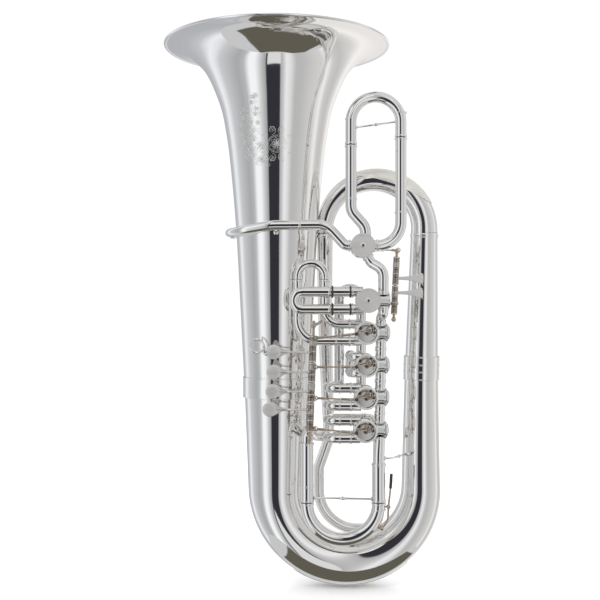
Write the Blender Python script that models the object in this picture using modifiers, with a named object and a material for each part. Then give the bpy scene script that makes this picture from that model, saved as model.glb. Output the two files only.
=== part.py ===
"""A six-valve rotary tuba in F, bell up.

Z = 0 is the lowest point of the bottom bow's guard. The bell's axis is the line X = BELL_X, Y = 0,
and the player sits on the +Y side. Lengths below are in millimetres, and MM turns them into metres.
"""

import math

import bmesh
import bpy
from mathutils import Matrix, Vector

MM = 0.001
GAP = 0.3
JOINT_GAP = 1.0
WALL = 1.2

# Bell: outer radius at each height, above the joint with the bottom bow.
BELL_X = -48.2
BELL_JOINT_Z = 372.0
BELL_RIM_RADIUS = 210.0
BELL_TOP_Z = 1009.5
BELL_PROFILE = (
    (372.0, 60.8),
    (534.0, 69.0),
    (676.0, 77.0),
    (801.0, 88.5),
    (847.0, 95.0),
    (894.0, 105.0),
    (960.0, 134.0),
    (985.0, 158.0),
    (1000.0, 182.0),
    (1006.0, 204.0),
)

# Bottom bow: a half circle between the bell's leg and the right-hand branch.
BOW_X = 86.6
BOW_Z = 184.0
BOW_RADIUS = 134.8
BOW_TAPER = ((0.0, 60.5), (0.27, 52.0), (0.5, 45.0), (0.72, 36.8), (0.8, 35.6), (1.0, 31.0))
BRANCH_JOINT_Z = 407.0
BRANCH_X = 222.6

# Top bow: a half circle that leans back from the outer branch to the inner one, behind the bell.
TOP_X = 135.1
TOP_Z = 667.0
TOP_RADIUS = 92.7
TOP_TAPER = ((0.0, 25.0), (0.5, 20.6), (1.0, 15.3))
TOP_STEPS = 8
INNER_Y = 20.0
LOOP_Y = 38.0
LOOP_TOP_Z = 280.0
LOOP_X = 50.0
LOOP_R = 10.6

# Main valves, top to bottom: the rotor axes run along Y.
VALVE_X = (113.8, 113.1, 112.3, 111.2)
VALVE_Z = (475.5, 417.5, 360.0, 301.3)
PORT_Y = -75.0
CASING_R = 19.4
RING_R = 20.6
ROTOR_R = 15.8
BORE_R = 16.5
SPINDLE_R = 2.6
PORT_RISE = 16.0
REAR_Y = -39.0
TUBE_R = 9.0
NECK_R = 11.5
LINE_OFFSET = 26.5
LINE_R = 9.2
NECK_END = 36.5

# Fifth and sixth valves: rotor axes along Y, with the stop arms behind.
FIFTH = Vector((106.0, -85.0, 630.0))
SIXTH = Vector((115.0, -92.0, 533.0))

# Slides: the radius of the inner legs, and of the sockets that they slide in.
LEG_R = 7.4
SOCKET_R = 7.8
MAIN_LEG_R = 10.2
MAIN_SOCKET_R = 10.65
MAIN_OUTER_R = 12.1
MAIN_LEFT_X = 7.5
MAIN_RIGHT_X = 136.2
MAIN_JOINT_Z = 172.0
MAIN_CENTRE_Z = 169.4
MAIN_LEG_Z = 234.0

# Finger levers: one leaning hinge line, four hinge tubes and four touch plates.
HINGE_FOOT = Vector((11.8, -90.0, 287.5))
HINGE_HEAD = Vector((19.4, -90.0, 488.0))
HINGE_TUBE_R = 6.4
HINGE_ROD_R = 2.4
HINGE_BORE_R = 2.9
PADDLE_SPANS = ((423.4, 471.0), (387.4, 422.8), (351.4, 386.8), (299.5, 350.8))
PADDLE_PLATES = ((-50.9, 442.5), (-50.9, 407.3), (-52.6, 373.0), (-57.9, 341.3))
PLATE_Y = -108.0
PLATE_R = 13.0
HORN_X = 22.0
HORN_Z = (467.0, 416.3, 361.8, 308.2)
LINK_Y = -112.0
LINK_BALL_X = 94.5
STOP_PIN = 5.2

# Levers of the fifth and sixth valves.
THUMB_FOOT = Vector((163.4, -72.0, 499.0))
THUMB_HEAD = Vector((169.2, -72.0, 622.0))
THUMB_SPANS = ((560.5, 612.0), (508.0, 559.9))
THUMB_PLATE_Z = (573.0, 547.0)
THUMB_LINK_Y = -50.0


# ---------------------------------------------------------------- scene and materials


def clear_scene():
    for old in list(bpy.data.objects):
        bpy.data.objects.remove(old, do_unlink=True)


def new_collection(name):
    collection = bpy.data.collections.new(name)
    bpy.context.scene.collection.children.link(collection)
    return collection


def material(name, color, metallic, roughness):
    made = bpy.data.materials.new(name)
    made.use_nodes = True
    shader = made.node_tree.nodes["Principled BSDF"]
    shader.inputs["Base Color"].default_value = (*color, 1.0)
    shader.inputs["Metallic"].default_value = metallic
    shader.inputs["Roughness"].default_value = roughness
    return made


clear_scene()
TUBA = new_collection("tuba")
CUTTERS = new_collection("tuba_cutters")
SILVER = material("silver_plate", (0.86, 0.85, 0.82), 1.0, 0.12)
SATIN = material("satin_silver", (0.62, 0.60, 0.57), 1.0, 0.42)
NICKEL = material("nickel_silver", (0.60, 0.52, 0.43), 1.0, 0.30)


# ---------------------------------------------------------------- making shapes


def aimed(origin, direction):
    """The matrix that takes the Z axis to a line through origin, in metres."""
    turn = Vector(direction).to_track_quat("Z", "Y").to_matrix().to_4x4()
    return Matrix.Translation(Vector(origin) * MM) @ turn


def baked(obj, name):
    """A plain mesh object with the shape that obj has after its modifiers or bevel."""
    bpy.context.view_layer.update()
    graph = bpy.context.evaluated_depsgraph_get()
    mesh = bpy.data.meshes.new_from_object(obj.evaluated_get(graph))
    mesh.transform(obj.matrix_world)
    bpy.data.objects.remove(obj, do_unlink=True)
    shape = bmesh.new()
    shape.from_mesh(mesh)
    bmesh.ops.remove_doubles(shape, verts=shape.verts, dist=1e-6)
    bmesh.ops.recalc_face_normals(shape, faces=shape.faces)
    shape.to_mesh(mesh)
    shape.free()
    made = bpy.data.objects.new(name, mesh)
    CUTTERS.objects.link(made)
    return made


def turned(name, profile, place, steps, closed=False):
    """A solid of revolution. profile holds (radius, height) points and place takes Z to its axis."""
    mesh = bpy.data.meshes.new(name)
    points = [(radius * MM, 0.0, height * MM) for radius, height in profile]
    edges = [(i, i + 1) for i in range(len(points) - 1)]
    if closed:
        edges.append((len(points) - 1, 0))
    mesh.from_pydata(points, edges, [])
    obj = bpy.data.objects.new(name, mesh)
    CUTTERS.objects.link(obj)
    obj.matrix_world = place
    screw = obj.modifiers.new("turn", "SCREW")
    screw.steps = steps
    screw.render_steps = steps
    screw.use_merge_vertices = True
    screw.merge_threshold = 1e-6
    return baked(obj, name)


def cylinder(name, start, end, radius, steps=12):
    """A round bar from start to end."""
    start, end = Vector(start), Vector(end)
    length = (end - start).length
    profile = ((0.0, length), (radius, length), (radius, 0.0), (0.0, 0.0))
    return turned(name, profile, aimed(start, end - start), steps)


def ball(name, centre, radius, steps=10):
    rows = 4
    profile = [
        (radius * math.sin(math.pi * i / rows), radius * math.cos(math.pi * i / rows))
        for i in range(rows + 1)
    ]
    return turned(name, profile, aimed(centre, (0, -1, 0)), steps)


def rounded(corners, bends, step=46.0):
    """Points along straight runs between the corners, with an arc of its own radius at each one."""
    corners = [Vector(corner) for corner in corners]
    if not isinstance(bends, (list, tuple)):
        bends = [bends] * (len(corners) - 2)
    points = [corners[0]]
    for before, corner, after, bend in zip(corners, corners[1:], corners[2:], bends):
        toward, away = (before - corner).normalized(), (after - corner).normalized()
        turn = math.pi - toward.angle(away)
        middle = (toward + away).normalized()
        centre = corner + middle * (bend / math.cos(turn / 2))
        axis = toward.cross(away).normalized()
        first = corner + toward * (bend * math.tan(turn / 2)) - centre
        count = max(2, math.ceil(math.degrees(turn) / step))
        for i in range(count + 1):
            points.append(centre + Matrix.Rotation(-turn * i / count, 3, axis) @ first)
    points.append(corners[-1])
    return points


def lengths_along(points):
    total = [0.0]
    for before, after in zip(points, points[1:]):
        total.append(total[-1] + (after - before).length)
    return total


def tapered(points, taper):
    """The radius at each point, from (share of the length, radius) pairs."""
    total = lengths_along(points)
    radii = []
    for length in total:
        share = length / total[-1]
        for (low, first), (high, last) in zip(taper, taper[1:]):
            if share <= high + 1e-9:
                radii.append(first + (last - first) * (share - low) / (high - low))
                break
    return radii


def tube(name, points, radii, sides=8, wall=None):
    """A round tube along the points: open and hollow if it has a wall, else solid with flat ends."""
    if not isinstance(radii, (list, tuple)):
        radii = [radii] * len(points)
    curve = bpy.data.curves.new(name, "CURVE")
    curve.dimensions = "3D"
    curve.bevel_depth = MM
    curve.bevel_resolution = (sides - 4) // 2
    curve.use_fill_caps = wall is None
    spline = curve.splines.new("POLY")
    spline.points.add(len(points) - 1)
    for place, point, radius in zip(spline.points, points, radii):
        place.co = (*(Vector(point) * MM), 1.0)
        place.radius = radius
    obj = bpy.data.objects.new(name, curve)
    CUTTERS.objects.link(obj)
    made = baked(obj, name)
    if wall is None:
        return made
    shell = made.modifiers.new("wall", "SOLIDIFY")
    shell.thickness = wall * MM
    shell.offset = -1.0
    return baked(made, name)


def plate(name, outline, place, thickness):
    """A flat outline extruded both ways along the local Z axis of place."""
    curve = bpy.data.curves.new(name, "CURVE")
    curve.dimensions = "2D"
    curve.fill_mode = "BOTH"
    curve.extrude = thickness * MM / 2
    spline = curve.splines.new("POLY")
    spline.points.add(len(outline) - 1)
    for point, (x, y) in zip(spline.points, outline):
        point.co = (x * MM, y * MM, 0.0, 1.0)
    spline.use_cyclic_u = True
    obj = bpy.data.objects.new(name, curve)
    CUTTERS.objects.link(obj)
    obj.matrix_world = place
    return baked(obj, name)


def combine(obj, helpers, operation):
    for helper in helpers:
        helper.hide_render = True
        helper.display_type = "WIRE"
        modifier = obj.modifiers.new(helper.name, "BOOLEAN")
        modifier.operation = operation
        modifier.object = helper


def node(obj, name, finish, origin=None, add=(), cut=()):
    """Makes obj a part of the tuba: joined with add, less cut, with its origin on its joint."""
    combine(obj, add, "UNION")
    combine(obj, cut, "DIFFERENCE")
    CUTTERS.objects.unlink(obj)
    TUBA.objects.link(obj)
    obj.name = name
    obj.data.materials.clear()
    obj.data.materials.append(finish)
    obj.data.shade_smooth()
    obj.data.set_sharp_from_angle(angle=math.radians(40))
    if origin is not None:
        place = Vector(origin) * MM
        obj.data.transform(Matrix.Translation(-place))
        obj.location = place
    return obj


# ---------------------------------------------------------------- bell and large branches


def inner_skin(profile):
    """The profile moved inwards by the wall, point by point."""
    moved = []
    for i, (height, radius) in enumerate(profile):
        low = profile[max(i - 1, 0)]
        high = profile[min(i + 1, len(profile) - 1)]
        slope = math.atan2(high[1] - low[1], high[0] - low[0])
        moved.append((radius - WALL * math.cos(slope), height + WALL * math.sin(slope)))
    return moved


def make_bell():
    bead = 2.4
    centre = (BELL_RIM_RADIUS - bead, BELL_TOP_Z - bead * math.cos(math.radians(22.5)))
    outer = [(radius, height) for height, radius in BELL_PROFILE]
    rim = [
        (centre[0] + bead * math.cos(angle), centre[1] + bead * math.sin(angle))
        for angle in (math.radians(-112.5 + 45 * i) for i in range(6))
    ]
    profile = outer + rim + inner_skin(BELL_PROFILE)[::-1]
    bell = turned("bell_skin", profile, aimed((BELL_X, 0, 0), (0, 0, 1)), 28, closed=True)
    node(bell, "bell", SILVER)


def ring_sleeve(name, centre, lean, inner, length, steps):
    """A ferrule: a thin sleeve with a raised ring at each end."""
    half = length / 2
    low, high = inner + 0.9, inner + 1.9
    outer = [(high, half), (high, half - 3), (low, half - 4.5)]
    profile = outer + [(radius, -height) for radius, height in reversed(outer)]
    profile += [(inner, -half), (inner, half)]
    return node(turned(name, profile, aimed(centre, lean), steps, closed=True), name, SILVER)


def bow_points():
    """The bottom bow's centreline, from the bell's joint to the right-hand branch."""
    left = BOW_X - BOW_RADIUS
    points = [Vector((left, 0, BELL_JOINT_Z - GAP)), Vector((left, 0, 271.0))]
    steps = 8
    for i in range(steps + 1):
        angle = math.pi * (1 + i / steps)
        x = BOW_X + BOW_RADIUS * math.cos(angle)
        points.append(Vector((x, 0, BOW_Z + BOW_RADIUS * math.sin(angle))))
    points.append(Vector((BOW_X + BOW_RADIUS, 0, 271.0)))
    points.append(Vector((BRANCH_X, 0, BRANCH_JOINT_Z - JOINT_GAP)))
    return points


def make_bottom_bow():
    points = bow_points()
    bow = tube("bow_skin", points, tapered(points, BOW_TAPER), 16, WALL)
    node(bow, "bottom_bow", SILVER)
    ring_sleeve("bell_ferrule", (BELL_X, 0, BELL_JOINT_Z), (0, 0, 1), 62.5, 38.0, 24)
    ring_sleeve("branch_ferrule", (BRANCH_X, 0, BRANCH_JOINT_Z), (0.02, 0, 1), 32.7, 44.0, 16)


def make_bow_guard():
    """A strip that follows the underside of the bow. Its foot is the lowest point, Z = 0."""
    points = bow_points()
    radii = tapered(points, BOW_TAPER)
    strip = []
    for point, radius in zip(points, radii):
        angle = math.atan2(point.z - BOW_Z, point.x - BOW_X)
        if -2.25 < angle < -0.75:
            out = Vector((math.cos(angle), 0, math.sin(angle)))
            strip.append(point + out * (radius + 2.2))
    guard = tube("guard_skin", strip, 1.0, 8)
    lowest = min((corner.co.z for corner in guard.data.vertices))
    for corner in guard.data.vertices:
        corner.co.y *= 13.0
        corner.co.z -= lowest
    node(guard, "bottom_bow_guard", SILVER)


def top_point(share):
    angle = math.pi * share
    lean = INNER_Y * (0.5 - 0.5 * math.cos(angle))
    return Vector(
        (TOP_X + TOP_RADIUS * math.cos(angle), lean, TOP_Z + TOP_RADIUS * math.sin(angle))
    )


def make_top():
    right = Vector((BRANCH_X, 0, BRANCH_JOINT_Z))
    stub = Vector((0, 0, 8.0))
    joint = stub + Vector((0, 0, JOINT_GAP))
    branch = [right, right.lerp(top_point(0), 0.5), top_point(0) - joint]
    node(tube("branch_skin", branch, [31.0, 28.0, 25.0], 16, WALL), "outer_branch", SILVER)
    bow = [top_point(i / TOP_STEPS) for i in range(TOP_STEPS + 1)]
    bow = [bow[0] - stub] + bow + [bow[-1] - stub]
    node(tube("top_skin", bow, tapered(bow, TOP_TAPER), 14, WALL), "top_bow", SILVER)
    loop_head = Vector((LOOP_X, LOOP_Y, LOOP_TOP_Z))
    inner = [
        top_point(1) - joint,
        top_point(1) - joint - stub,
        Vector((42.5, 23.0, 560.0)),
        Vector((45.0, 30.0, 420.0)),
        loop_head + stub,
        loop_head,
    ]
    radii = [15.2, 15.1, 13.9, 12.4, 11.1, 11.0]
    node(tube("inner_skin", inner, radii, 10, WALL), "inner_branch", SILVER)


def make_top_guard():
    """The saddle that protects the outer side of the top bow."""
    ring = [top_point(i / TOP_STEPS) for i in range(1, 6)]
    sizes = tapered([top_point(i / TOP_STEPS) for i in range(TOP_STEPS + 1)], TOP_TAPER)[1:6]
    strip = [ring[0].lerp(ring[1], 0.4), *ring[1:4], ring[3].lerp(ring[4], 0.5)]
    sizes = [sizes[0] * 0.6 + sizes[1] * 0.4, *sizes[1:4], (sizes[3] + sizes[4]) / 2]
    shell = tube("top_guard_skin", strip, [size + 2.6 for size in sizes], 14, WALL)
    low, high = Vector((TOP_X, -60, TOP_Z)), Vector((TOP_X, 90, TOP_Z))
    inside = cylinder("top_guard_cut", low, high, TOP_RADIUS + 9.0, 20)
    node(shell, "top_bow_guard", SILVER, None, (), [inside])


def make_loop():
    """The small end of the big branches: it loops below the valves, then crosses to the main slide."""
    corners = [
        (LOOP_X, LOOP_Y, LOOP_TOP_Z - GAP),
        (LOOP_X, LOOP_Y, LOOP_TOP_Z - 12.0),
        (31.0, LOOP_Y, 214.0),
        (31.0, LOOP_Y, 96.5),
        (145.0, LOOP_Y, 96.5),
        (145.0, LOOP_Y, 281.0),
        (118.0, -8.0, 281.0),
        (21.0, -8.0, 281.0),
        (MAIN_LEFT_X, PORT_Y, 303.0),
        (MAIN_LEFT_X, PORT_Y, 279.0),
    ]
    points = rounded(corners, [12.0, 30.0, 75.0, 28.0, 22.0, 20.0, 22.0, 15.0])
    node(tube("loop_skin", points, LOOP_R, 8), "crossing_loop", SILVER)


# ---------------------------------------------------------------- valves


def casing_shape(name, centre, front):
    """A rotary valve's casing, with the stop-arm ring towards front, which is -1 or 1 along Y."""
    profile = (
        (0.0, -22.0),
        (12.0, -22.0),
        (17.0, -19.5),
        (CASING_R, -19.5),
        (CASING_R, 21.0),
        (RING_R, 21.0),
        (RING_R, 28.0),
        (BORE_R, 28.0),
        (BORE_R, 22.0),
        (3.2, 22.0),
        (3.2, 19.5),
        (BORE_R, 19.5),
        (BORE_R, -17.0),
        (0.0, -17.0),
    )
    return turned(name, profile, aimed(centre, (0, front, 0)), 16)


def casing_node(number, shape, centre, front, joined, sockets):
    """The casing with the tubes brazed to it. Its bore is cut again where they reach into it."""
    ahead = Vector((0, front, 0))
    start, end = Vector(centre) - ahead * 17.0, Vector(centre) + ahead * 19.5
    bore = cylinder(f"bore{number}", start, end, BORE_R, 16)
    node(shape, f"valve{number}_casing", SILVER, None, joined, [bore, *sockets])


def rotor_shape(name, centre, front, pin):
    """The rotor with its windways, its spindle and the stop arm that is clamped on the spindle."""
    middle = Vector(centre)
    ahead = Vector((0, front, 0))
    profile = (
        (0.0, 27.0),
        (SPINDLE_R, 27.0),
        (SPINDLE_R, 19.0),
        (ROTOR_R, 19.0),
        (ROTOR_R, -16.5),
        (0.0, -16.5),
    )
    rotor = turned(name, profile, aimed(middle, ahead), 14)
    tip = middle + Vector(pin) + ahead * 24.8
    arm = cylinder(name + "_arm", middle + ahead * 24.8, tip, 1.6, 6)
    post = cylinder(name + "_pin", tip - ahead * 1.4, tip + ahead * 13.0, 1.3, 6)
    hub = cylinder(name + "_hub", middle + ahead * 22.8, middle + ahead * 28.2, 4.6, 8)
    ways = []
    for side in (-1, 1):
        shift = Vector((side * 13.0, 0, 0))
        low, high = Vector((0, 0, -20)), Vector((0, 0, 20))
        ways.append(cylinder(f"{name}_way{side}", middle + shift + low, middle + shift + high, 7.0, 8))
    return rotor, [hub, arm, post], ways


def make_rotor(number, centre, front, pin):
    name = f"valve{number}_rotor"
    rotor, joined, ways = rotor_shape(name + "_body", centre, front, pin)
    node(rotor, name, NICKEL, centre, joined, ways)


def neck(number, centre):
    """The port chamber on a main valve's outer side, where the connecting tubes meet."""
    root = Vector(centre) + Vector((CASING_R - 4.0, 0, 0))
    return cylinder(f"neck{number}", root, Vector(centre) + Vector((NECK_END, 0, 0)), NECK_R, 12)


def socket_pair(name, ends, direction, depth, radius):
    """Cutters for the two sockets of a slide."""
    reach = Vector(direction) * depth
    out = Vector(direction) * -2.0
    return [cylinder(f"{name}_{i}", end + out, end + reach, radius, 12) for i, end in enumerate(map(Vector, ends))]


def make_first_casing():
    x, z = VALVE_X[0], VALVE_Z[0]
    y = -72.0
    top, left, right = 570.0, -9.3, 39.4
    upper = [(x - 8, y, z + 15), (right, y, z + 15), (right, y, top)]
    lower = [(x - 8, y, z - 15), (left, y, z - 15), (left, y, top)]
    tubes = [
        tube("first_upper", rounded(upper, 28.0), 8.6),
        tube("first_lower", rounded(lower, 38.0), 8.6),
    ]
    brace = cylinder("first_brace", (left + 4, y, 520), (right - 4, y, 520), 1.8, 6)
    centre = Vector((x, PORT_Y, z))
    sockets = socket_pair("first_socket", [(left, y, top), (right, y, top)], (0, 0, -1), 48.0, 7.3)
    casing = casing_shape("casing1", centre, -1)
    casing_node(1, casing, centre, -1, tubes + [brace, neck(1, centre)], sockets)
    slide = [(left, y, 526), (left, y, 600), (right, y, 600), (right, y, 526)]
    make_slide("slide1", slide, 24.3, 6.9, 7.9, 44.3, (left, y, top))
    make_rotor(1, centre, -1, (STOP_PIN, 0, STOP_PIN))


def make_second_casing():
    x, z = VALVE_X[1], VALVE_Z[1]
    turn_x = 88.0
    ports, ends = [], []
    for i, rise in enumerate((14.5, -14.5)):
        run = [(x - 8, PORT_Y, z + rise), (turn_x, PORT_Y, z + rise), (turn_x, -28.0, z + rise)]
        ports.append(tube(f"second_port{i}", rounded(run, 12.0), 8.6))
        ends.append((turn_x, -28.0, z + rise))
    centre = Vector((x, PORT_Y, z))
    sockets = socket_pair("second_socket", ends, (0, -1, 0), 30.0, 7.3)
    casing = casing_shape("casing2", centre, -1)
    casing_node(2, casing, centre, -1, ports + [neck(2, centre)], sockets)
    slide = [(turn_x, -55, z + 14.5), (turn_x, -4, z + 14.5), (turn_x, -4, z - 14.5), (turn_x, -55, z - 14.5)]
    make_slide("slide2", slide, 14.4, 6.9, 8.2, 27.3, (turn_x, -28, z))
    make_rotor(2, centre, -1, (STOP_PIN, 0, STOP_PIN))


def make_third_casing():
    x, z = VALVE_X[2], VALVE_Z[2]
    turn_x, left, right, top = 45.2, 67.0, 107.0, 486.0
    upper = [
        (x - 8, PORT_Y, z + PORT_RISE),
        (turn_x, PORT_Y, z + PORT_RISE),
        (turn_x, REAR_Y, z + PORT_RISE),
        (left, REAR_Y, z + PORT_RISE),
        (left, REAR_Y, top),
    ]
    lower = [(px, py, z - PORT_RISE) for px, py, _ in upper[:3]]
    lower += [(right, REAR_Y, z - PORT_RISE), (right, REAR_Y, top)]
    tubes = [
        tube("third_upper", rounded(upper, [17.9, 10.0, 11.0], 45.0), TUBE_R),
        tube("third_lower", rounded(lower, [17.9, 17.9, 20.0], 45.0), TUBE_R),
    ]
    centre = Vector((x, PORT_Y, z))
    ends = [(left, REAR_Y, top), (right, REAR_Y, top)]
    sockets = socket_pair("third_socket", ends, (0, 0, -1), 62.0, SOCKET_R)
    casing = casing_shape("casing3", centre, -1)
    casing_node(3, casing, centre, -1, tubes + [neck(3, centre)], sockets)
    slide = [(left, REAR_Y, 426), (left, REAR_Y, 555), (right, REAR_Y, 555), (right, REAR_Y, 426)]
    make_slide("slide3", slide, 19.9, LEG_R, TUBE_R, 60.3, (left, REAR_Y, top))
    make_rotor(3, centre, -1, (STOP_PIN, 0, STOP_PIN))


def make_fourth_casing():
    x, z = VALVE_X[3], VALVE_Z[3]
    turn_x, end_x = 45.2, 112.0
    tubes, ends = [], []
    for i, rise in enumerate((PORT_RISE, -PORT_RISE)):
        run = [
            (x - 8, PORT_Y, z + rise),
            (turn_x, PORT_Y, z + rise),
            (turn_x, REAR_Y, z + rise),
            (end_x, REAR_Y, z + rise),
        ]
        tubes.append(tube(f"fourth_{i}", rounded(run, 17.9, 45.0), TUBE_R))
        ends.append((end_x, REAR_Y, z + rise))
    centre = Vector((x, PORT_Y, z))
    sockets = socket_pair("fourth_socket", ends, (-1, 0, 0), 46.0, SOCKET_R)
    casing = casing_shape("casing4", centre, -1)
    casing_node(4, casing, centre, -1, tubes + [neck(4, centre)], sockets)
    low, high = z - PORT_RISE, z + PORT_RISE
    slide = [(68, REAR_Y, high), (135, REAR_Y, high), (135, REAR_Y, low), (68, REAR_Y, low)]
    make_slide("slide4", slide, 15.9, LEG_R, TUBE_R, 44.3, (end_x, REAR_Y, z))
    make_rotor(4, centre, -1, (STOP_PIN, 0, STOP_PIN))


def make_slide(name, corners, bend, leg_radius, crook_radius, inset, origin, add=()):
    """A slide: a crook between two thinner legs, which reach inset into their sockets."""
    points = rounded(corners, bend)
    step = 1.0
    first, last = points[0], points[-1]
    into, out = (points[1] - first).normalized(), (points[-2] - last).normalized()
    path = [first, first + into * inset, first + into * (inset + step)]
    path += points[1:-1]
    path += [last + out * (inset + step), last + out * inset, last]
    radii = [leg_radius] * 2 + [crook_radius] * (len(path) - 4) + [leg_radius] * 2
    body = tube(name + "_body", path, radii, 8, WALL)
    return node(body, name, SILVER, origin, add)


def auxiliary_casing(number, centre, tubes, sockets):
    """The fifth or sixth valve: stop arm behind, flat screw cap in front."""
    casing = casing_shape(f"casing{number}", centre, 1)
    casing_node(number, casing, centre, 1, tubes, sockets)
    cap = ((0.0, 27.5), (3.2, 27.5), (3.6, 26.3), (21.2, 26.3), (21.6, 25.5), (21.6, 22.3), (0.0, 22.3))
    shape = turned(f"cap{number}_body", cap, aimed(centre, (0, -1, 0)), 20)
    node(shape, f"valve{number}_cap", SATIN)
    make_rotor(number, centre, 1, (STOP_PIN, 0, -STOP_PIN))


def make_fifth_valve():
    x, y, z = FIFTH
    left, right, left_end, right_end = 86.0, 175.0, 810.0, 823.0
    rise = [(x + 6, y, z + 12), (x + 6, y, z + 34), (left, y, z + 63), (left, y, left_end)]
    side = [(x + 10, y, z + 1), (right, y, z + 1), (right, y, right_end)]
    tubes = [
        tube("fifth_left", rounded(rise, 26.0, 25.0), 10.0),
        tube("fifth_right", rounded(side, 42.0), 10.0),
    ]
    ends = [(left, y, left_end), (right, y, right_end)]
    sockets = socket_pair("fifth_socket", ends, (0, 0, -1), 100.0, 8.4)
    auxiliary_casing(5, FIFTH, tubes, sockets)
    shift = right_end - left_end
    slide = [(left, y, 715), (left, y, 896), (right, y, 896), (right, y, 715 + shift)]
    twist = cylinder("fifth_brace", (left + 8, y, 842), (right - 8, y, 852), 1.8, 6)
    make_slide("slide5", slide, 44.4, 8.0, 10.0, 95.3, (left, y, left_end), [twist])


def make_sixth_valve():
    x, y, z = SIXTH
    end_x = 50.0
    tubes, ends = [], []
    for i, rise in enumerate((15.5, -15.5)):
        tubes.append(cylinder(f"sixth_{i}", (x - 8, y, z + rise), (end_x, y, z + rise), 9.5, 12))
        ends.append((end_x, y, z + rise))
    chamber = cylinder("neck6", (x + CASING_R - 4, y, z), (x + 40, y, z), 10.5, 12)
    sockets = socket_pair("sixth_socket", ends, (1, 0, 0), 38.0, 8.2)
    auxiliary_casing(6, SIXTH, tubes + [chamber], sockets)
    low, high = z - 15.5, z + 15.5
    slide = [(86, y, high), (-15.5, y, high), (-15.5, y, low), (86, y, low)]
    make_slide("slide6", slide, 15.4, 7.8, 9.3, 36.3, (end_x, y, z))


def make_line():
    """The tubes that join one valve to the next, down the valves' outer side."""
    places = [Vector((x + LINE_OFFSET, PORT_Y, z)) for x, z in zip(VALVE_X, VALVE_Z)]
    reach = Vector((0, 0, NECK_R + GAP))
    for i in range(3):
        run = [places[i] - reach, places[i + 1] + reach]
        made = tube(f"line{i}", run, LINE_R, 12, WALL)
        node(made, f"knuckle_{i + 1}_{i + 2}", SILVER)
    last = SIXTH + Vector((28.0, 0, -10.5 - GAP))
    first = places[0] + reach
    run = [last, Vector((last.x, last.y, 511.0)), Vector((first.x, first.y, 502.0)), first]
    node(tube("line6", rounded(run, 8.0), LINE_R, 10, WALL), "knuckle_6_1", SILVER)
    start = FIFTH + Vector((9.6, 0, -18.0))
    way = start - FIFTH
    way.normalize()
    first = FIFTH + way * (CASING_R + GAP)
    end = SIXTH + Vector((28.0, 0, 10.5 + GAP))
    corners = [first, first + way * 14.0, Vector((end.x, end.y, 588.0)), end]
    node(tube("s_pipe_skin", rounded(corners, [14.0, 22.0]), LINE_R, 10, WALL), "s_pipe", SILVER)
    cap_profile = ((0.0, 6.5), (6.0, 6.0), (11.5, 4.2), (15.0, 1.6), (15.0, 0.0), (0.0, 0.0))
    for i, (x, z) in enumerate(zip(VALVE_X, VALVE_Z)):
        place = aimed((x + NECK_END + GAP, PORT_Y, z), (1, 0, 0))
        node(turned(f"plug{i}", cap_profile, place, 14), f"port_cap{i + 1}", SILVER)


# ---------------------------------------------------------------- main tuning slide


def make_main_slide():
    head = Vector((VALVE_X[3] + LINE_OFFSET, PORT_Y, VALVE_Z[3] - NECK_R - GAP))
    right = [
        head,
        head - Vector((0, 0, 8.0)),
        Vector((MAIN_RIGHT_X, PORT_Y, 256.0)),
        Vector((MAIN_RIGHT_X, PORT_Y, 244.0)),
        Vector((MAIN_RIGHT_X, PORT_Y, 242.0)),
        Vector((MAIN_RIGHT_X, PORT_Y, MAIN_JOINT_Z)),
    ]
    left_top = Vector((MAIN_LEFT_X, PORT_Y, 278.7))
    left_foot = Vector((MAIN_LEFT_X, PORT_Y, MAIN_JOINT_Z))
    outer = tube("main_right", right, [9.6, 9.8, 10.6, 10.8, MAIN_OUTER_R, MAIN_OUTER_R], 12)
    other = tube("main_left", [left_top, left_foot], MAIN_OUTER_R, 12)
    brace = cylinder("main_brace", left_foot + Vector((5, 0, 7)), right[-1] + Vector((-5, 0, 5)), 1.9, 6)
    sockets = socket_pair("main_socket", [left_foot, right[-1]], (0, 0, 1), 66.0, MAIN_SOCKET_R)
    node(outer, "tuning_slide_tubes", SILVER, None, [other, brace], sockets)

    low = MAIN_CENTRE_Z - (MAIN_RIGHT_X - MAIN_LEFT_X) / 2
    slide = [
        (MAIN_LEFT_X, PORT_Y, MAIN_LEG_Z),
        (MAIN_LEFT_X, PORT_Y, low),
        (MAIN_RIGHT_X, PORT_Y, low),
        (MAIN_RIGHT_X, PORT_Y, MAIN_LEG_Z),
    ]
    edge = MAIN_RIGHT_X + MAIN_OUTER_R
    saddle = [
        cylinder(f"saddle{side}", (edge - 3, PORT_Y + side * 3.4, 163), (edge + 7, PORT_Y + side * 3.4, 163), 1.0, 6)
        for side in (-1, 1)
    ]
    spout = cylinder("spout", (126.0, PORT_Y, 132.0), (138.5, PORT_Y, 126.5), 3.6, 8)
    bend = (MAIN_RIGHT_X - MAIN_LEFT_X) / 2 - 0.1
    origin = (MAIN_LEFT_X, PORT_Y, MAIN_JOINT_Z)
    make_slide("tuning_slide", slide, bend, MAIN_LEG_R, MAIN_OUTER_R, 62.3, origin, saddle + [spout])


def make_water_key():
    """A rocking lever on the main slide's saddle. Its pad closes the spout."""
    pivot = Vector((MAIN_RIGHT_X + MAIN_OUTER_R + 5.5, PORT_Y, 163.0))
    arm = tube(
        "key_arm",
        [(159.0, PORT_Y, 222.0), (157.4, PORT_Y, 196.0), pivot, (152.0, PORT_Y, 140.0), (143.5, PORT_Y, 124.6)],
        [2.6, 1.8, 1.8, 1.8, 1.8],
        8,
    )
    barrel = cylinder("key_barrel", pivot - Vector((0, 2.0, 0)), pivot + Vector((0, 2.0, 0)), 3.0, 10)
    pad = cylinder("key_pad", (139.0, PORT_Y, 126.3), (144.5, PORT_Y, 123.9), 4.4, 10)
    node(arm, "water_key", NICKEL, pivot, [barrel, pad])


# ---------------------------------------------------------------- leadpipe


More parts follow.
